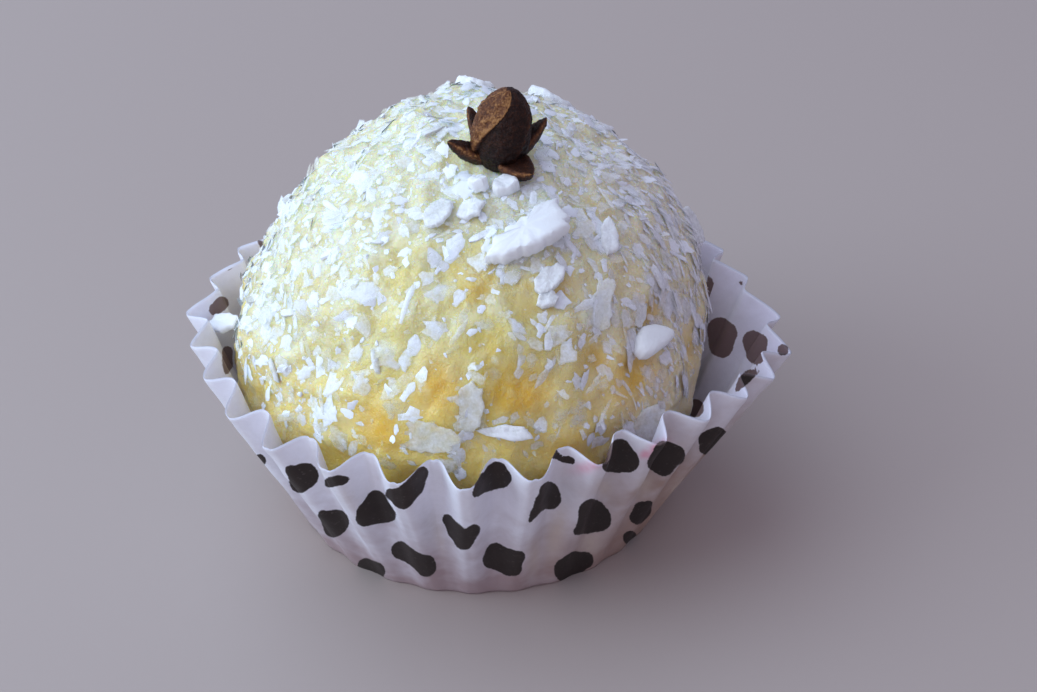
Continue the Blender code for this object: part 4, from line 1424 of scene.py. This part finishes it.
def buildScatterTree():
    tree, given, result = newTree("scatterCoconut", (
        ("Variants", "Collection"), ("Cover", "String"), ("Spacing", "Float"), ("Most", "Float"),
        ("Small", "Float"), ("Large", "Float"), ("Bias", "Float"), ("Tilt", "Float"), ("Lift Low", "Float"),
        ("Lift High", "Float"), ("Seed", "Int"), ("Material", "Material"),
    ))

    def chance(low, high, salt):
        seed = plus(tree, given["Seed"], float(salt))
        return firstOut(addNode(tree, "FunctionNodeRandomValue", {"Min": low, "Max": high, "Seed": seed},
                                data_type="FLOAT"))

    spread = addNode(tree, "GeometryNodeDistributePointsOnFaces", {
        "Mesh": given["Geometry"], "Distance Min": given["Spacing"], "Density Max": given["Most"],
        "Density Factor": readAttribute(tree, given["Cover"]), "Seed": given["Seed"],
    }, distribute_method="POISSON")
    normal = spread.outputs["Normal"]
    lift = vectorMaths(tree, "SCALE", normal, chance(given["Lift Low"], given["Lift High"], 1))
    points = addNode(tree, "GeometryNodeSetPosition", {"Geometry": spread.outputs["Points"], "Offset": lift})

    # upright of the skin first, then level along it, then each piece's own turn and tilt
    level = vectorMaths(tree, "CROSS_PRODUCT", (0.0, 0.0, 1.0), normal)
    stood = addNode(tree, "FunctionNodeAlignRotationToVector", {"Vector": normal}, axis="Z")
    stood = addNode(tree, "FunctionNodeAlignRotationToVector", {
        "Rotation": firstOut(stood), "Vector": level,
    }, axis="X", pivot_axis="Z")
    upright = readAttribute(tree, "upright")
    anyWay = chance(0.0, 2 * math.pi, 2)
    upWay = chance(math.pi / 2 - 0.55, math.pi / 2 + 0.55, 3)  # along the slope, on the shady side
    spin = plus(tree, anyWay, times(tree, upright, maths(tree, "SUBTRACT", upWay, anyWay)))
    steep = maths(tree, "POWER", chance(0.0, 1.0, 4), 2.0)
    tip = times(tree, steep, given["Tilt"])
    roll = times(tree, chance(-0.5, 0.5, 5), given["Tilt"])
    own = addNode(tree, "FunctionNodeEulerToRotation", (vectorOf(tree, roll, tip, spin),))
    turned = addNode(tree, "FunctionNodeRotateRotation", (firstOut(stood), firstOut(own)),
                     rotation_space="LOCAL")

    size = maths(tree, "POWER", chance(0.0, 1.0, 6), given["Bias"])
    growth = maths(tree, "SUBTRACT", given["Large"], given["Small"])
    size = maths(tree, "MULTIPLY_ADD", growth, size, given["Small"])
    kinds = addNode(tree, "GeometryNodeCollectionInfo", {
        "Collection": given["Variants"], "Separate Children": True, "Reset Children": True,
    })
    placed = addNode(tree, "GeometryNodeInstanceOnPoints", {
        "Points": firstOut(points), "Instance": firstOut(kinds), "Pick Instance": True,
        "Instance Index": firstOut(addNode(tree, "FunctionNodeRandomValue", {"Min": 0, "Max": 1000},
                                           data_type="INT")),
        "Rotation": firstOut(turned), "Scale": size,
    })
    placed = storeNamed(tree, placed, "shade", chance(0.0, 1.0, 7), domain="INSTANCE")
    return finishTree(tree, placed, given, result)


coconutLook = {
    "whites": (
        (0.0, (0.87, 0.82, 0.52)), (0.28, (0.89, 0.87, 0.68)), (0.50, (0.90, 0.91, 0.84)),
        (0.72, (0.88, 0.92, 0.94)), (1.0, (0.90, 0.94, 0.99)),
    ),
    # shady is a painted shade tint for the side away from the window
    "shady": (0.92, 0.88, 0.95), "roughness": 0.40, "specular": 0.55,
    "patch": (1300.0, 3.0, 0.6), "fine": (5200.0, 3.0, 0.65),  # scale, detail, roughness of the noises
    "chunkGlow": 0.7, "flakeGlow": 0.0, "glowDepth": 0.0005, "bump": 0.00010,
    # how far the shading leans to the ball's own, at the edge of the ball and in its middle
    "flakeLean": (0.5, 0.2), "chunkLean": (0.3, 0.1),
}


def makeCoconut(name, glow, mottle):
    # from nearly clear, tinted by the paste under it, to dense and white
    look = coconutLook
    material, tree, shader = newMaterial(name)
    place = objectPlace(tree)
    shade = attributeOf(tree, "shade")
    dust = attributeOf(tree, "dusting")
    patch, fine = noiseOf(tree, place, *look["patch"]), noiseOf(tree, place, *look["fine"])
    level = plus(tree, times(tree, shade, 0.84), times(tree, dust, 0.34))
    level = plus(tree, level, swing(tree, patch, mottle))
    level = plus(tree, level, swing(tree, fine, mottle * 0.5))
    # painted shade: pieces on the side away from the window are tinted mauve and made more see-through
    shady = times(tree, attributeOf(tree, "upright"), 0.65)
    rim = times(tree, attributeOf(tree, "rimFade"), mapRange(tree, shade, 0.50, 0.95, 1.0, 0.0))
    solid = mapRange(tree, level, 0.10, 0.90, 0.24, 1.0)
    solid = times(tree, solid, oneMinus(tree, times(tree, shady, 0.4)))
    # thin pieces take part of their shading from the ball that they lie on
    bumped = bumpOf(tree, plus(tree, fine, times(tree, patch, 0.6)), 0.3, look["bump"])
    outward = vectorMaths(tree, "SUBTRACT", place, pasteSettings["centre"])
    outward = vectorMaths(tree, "NORMALIZE", outward)
    facing = vectorMaths(tree, "DOT_PRODUCT", outward, bumped)
    share = mapRange(tree, facing, 0.1, 0.85, *look["chunkLean" if glow else "flakeLean"])
    lean = vectorMaths(tree, "SCALE", vectorMaths(tree, "SUBTRACT", outward, bumped), share)
    setShader(tree, shader, {
        "Base Color": mixColours(tree, shady, rampOf(tree, level, look["whites"]), look["shady"]),
        "Alpha": times(tree, solid, oneMinus(tree, rim)),
        "Roughness": look["roughness"], "Specular IOR Level": look["specular"],
        "Normal": vectorMaths(tree, "NORMALIZE", vectorMaths(tree, "ADD", bumped, lean)),
    })
    if glow:
        setShader(tree, shader, {
            "Subsurface Weight": glow, "Subsurface Radius": (1.0, 1.0, 1.0),
            "Subsurface Scale": look["glowDepth"],
        })
    return material


# kind: maker, variants, cover, spacing, most per square metre, smallest and largest size, bias to the
# small ones, tilt, lowest and highest lift
scatterSettings = {
    "coconutFlakes": (flakeMesh, 14, "flakeCover", 0.00050, 2.1e6, 0.22, 1.0, 1.8, 0.42, -0.00004, 0.00006),
    "coconutLoose": (flakeMesh, 12, "crumbCover", 0.0006, 1.7e6, 0.16, 0.70, 1.6, 0.6, 0.00000, 0.00010),
    "coconutShreds": (shredMesh, 8, "shredCover", 0.00055, 1.5e6, 0.25, 1.0, 1.3, 0.30, -0.00003, 0.00010),
    "coconutProud": (flakeMesh, 8, "flakeCover", 0.0018, 0.20e6, 0.22, 0.60, 1.2, 1.1, 0.00005, 0.00028),
    "coconutSpikes": (shredMesh, 8, "shredCover", 0.0012, 0.25e6, 0.20, 0.6, 1.3, 0.9, -0.00010, 0.00008),
    "coconutClumps": (clumpMesh, 10, "crumbCover", 0.0016, 0.18e6, 0.30, 1.0, 2.0, 1.2, -0.00012, 0.00012),
    "coconutSticks": (stickMesh, 6, "flakeCover", 0.0030, 0.06e6, 0.4, 0.9, 1.2, 0.25, -0.00005, 0.00006),
    "coconutCrumbs": (crumbMesh, 8, "crumbCover", 0.00032, 4.5e6, 0.25, 1.0, 2.0, 0.4, -0.00003, 0.00005),
}

scatterSeeds = {"variants": 11, "places": 40}  # each kind adds its own number
castsShadow = ("coconutClumps", "coconutSticks")


def scatterCoconut(surface, material):
    tree = buildScatterTree()
    pieces = []
    for number, (name, settings) in enumerate(scatterSettings.items()):
        makeOne, count, cover, spacing, most, small, large, bias, tilt, low, high = settings
        variants = makeVariants(name, makeOne, count, scatterSeeds["variants"] + number)
        thing = growFromTree(linkObject(name, surface.data.copy()), tree, {
            "Variants": variants, "Cover": cover, "Spacing": spacing, "Most": most, "Small": small,
            "Large": large, "Bias": bias, "Tilt": tilt, "Lift Low": low, "Lift High": high,
            "Seed": scatterSeeds["places"] + number, "Material": material,
        })
        for variant in list(variants.objects):
            bpy.data.objects.remove(variant, do_unlink=True)
        bpy.data.collections.remove(variants)
        thing.visible_shadow = name in castsShadow
        triangles = sum(len(face.vertices) - 2 for face in thing.data.polygons)
        print(name, triangles, "triangles")
        pieces.append(thing)
    return pieces


coconutFlesh = makeCoconut("coconutFlesh", coconutLook["flakeGlow"], 1.0)
coconutPieces = [makeLarge()] + scatterCoconut(pasteBall, coconutFlesh)


# What rides on what

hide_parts("paper_case")
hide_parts("sweet_ball")
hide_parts("clove")
for piece in [paperCase, pasteBall, cloveBud] + coconutPieces:
    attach(piece, "root")
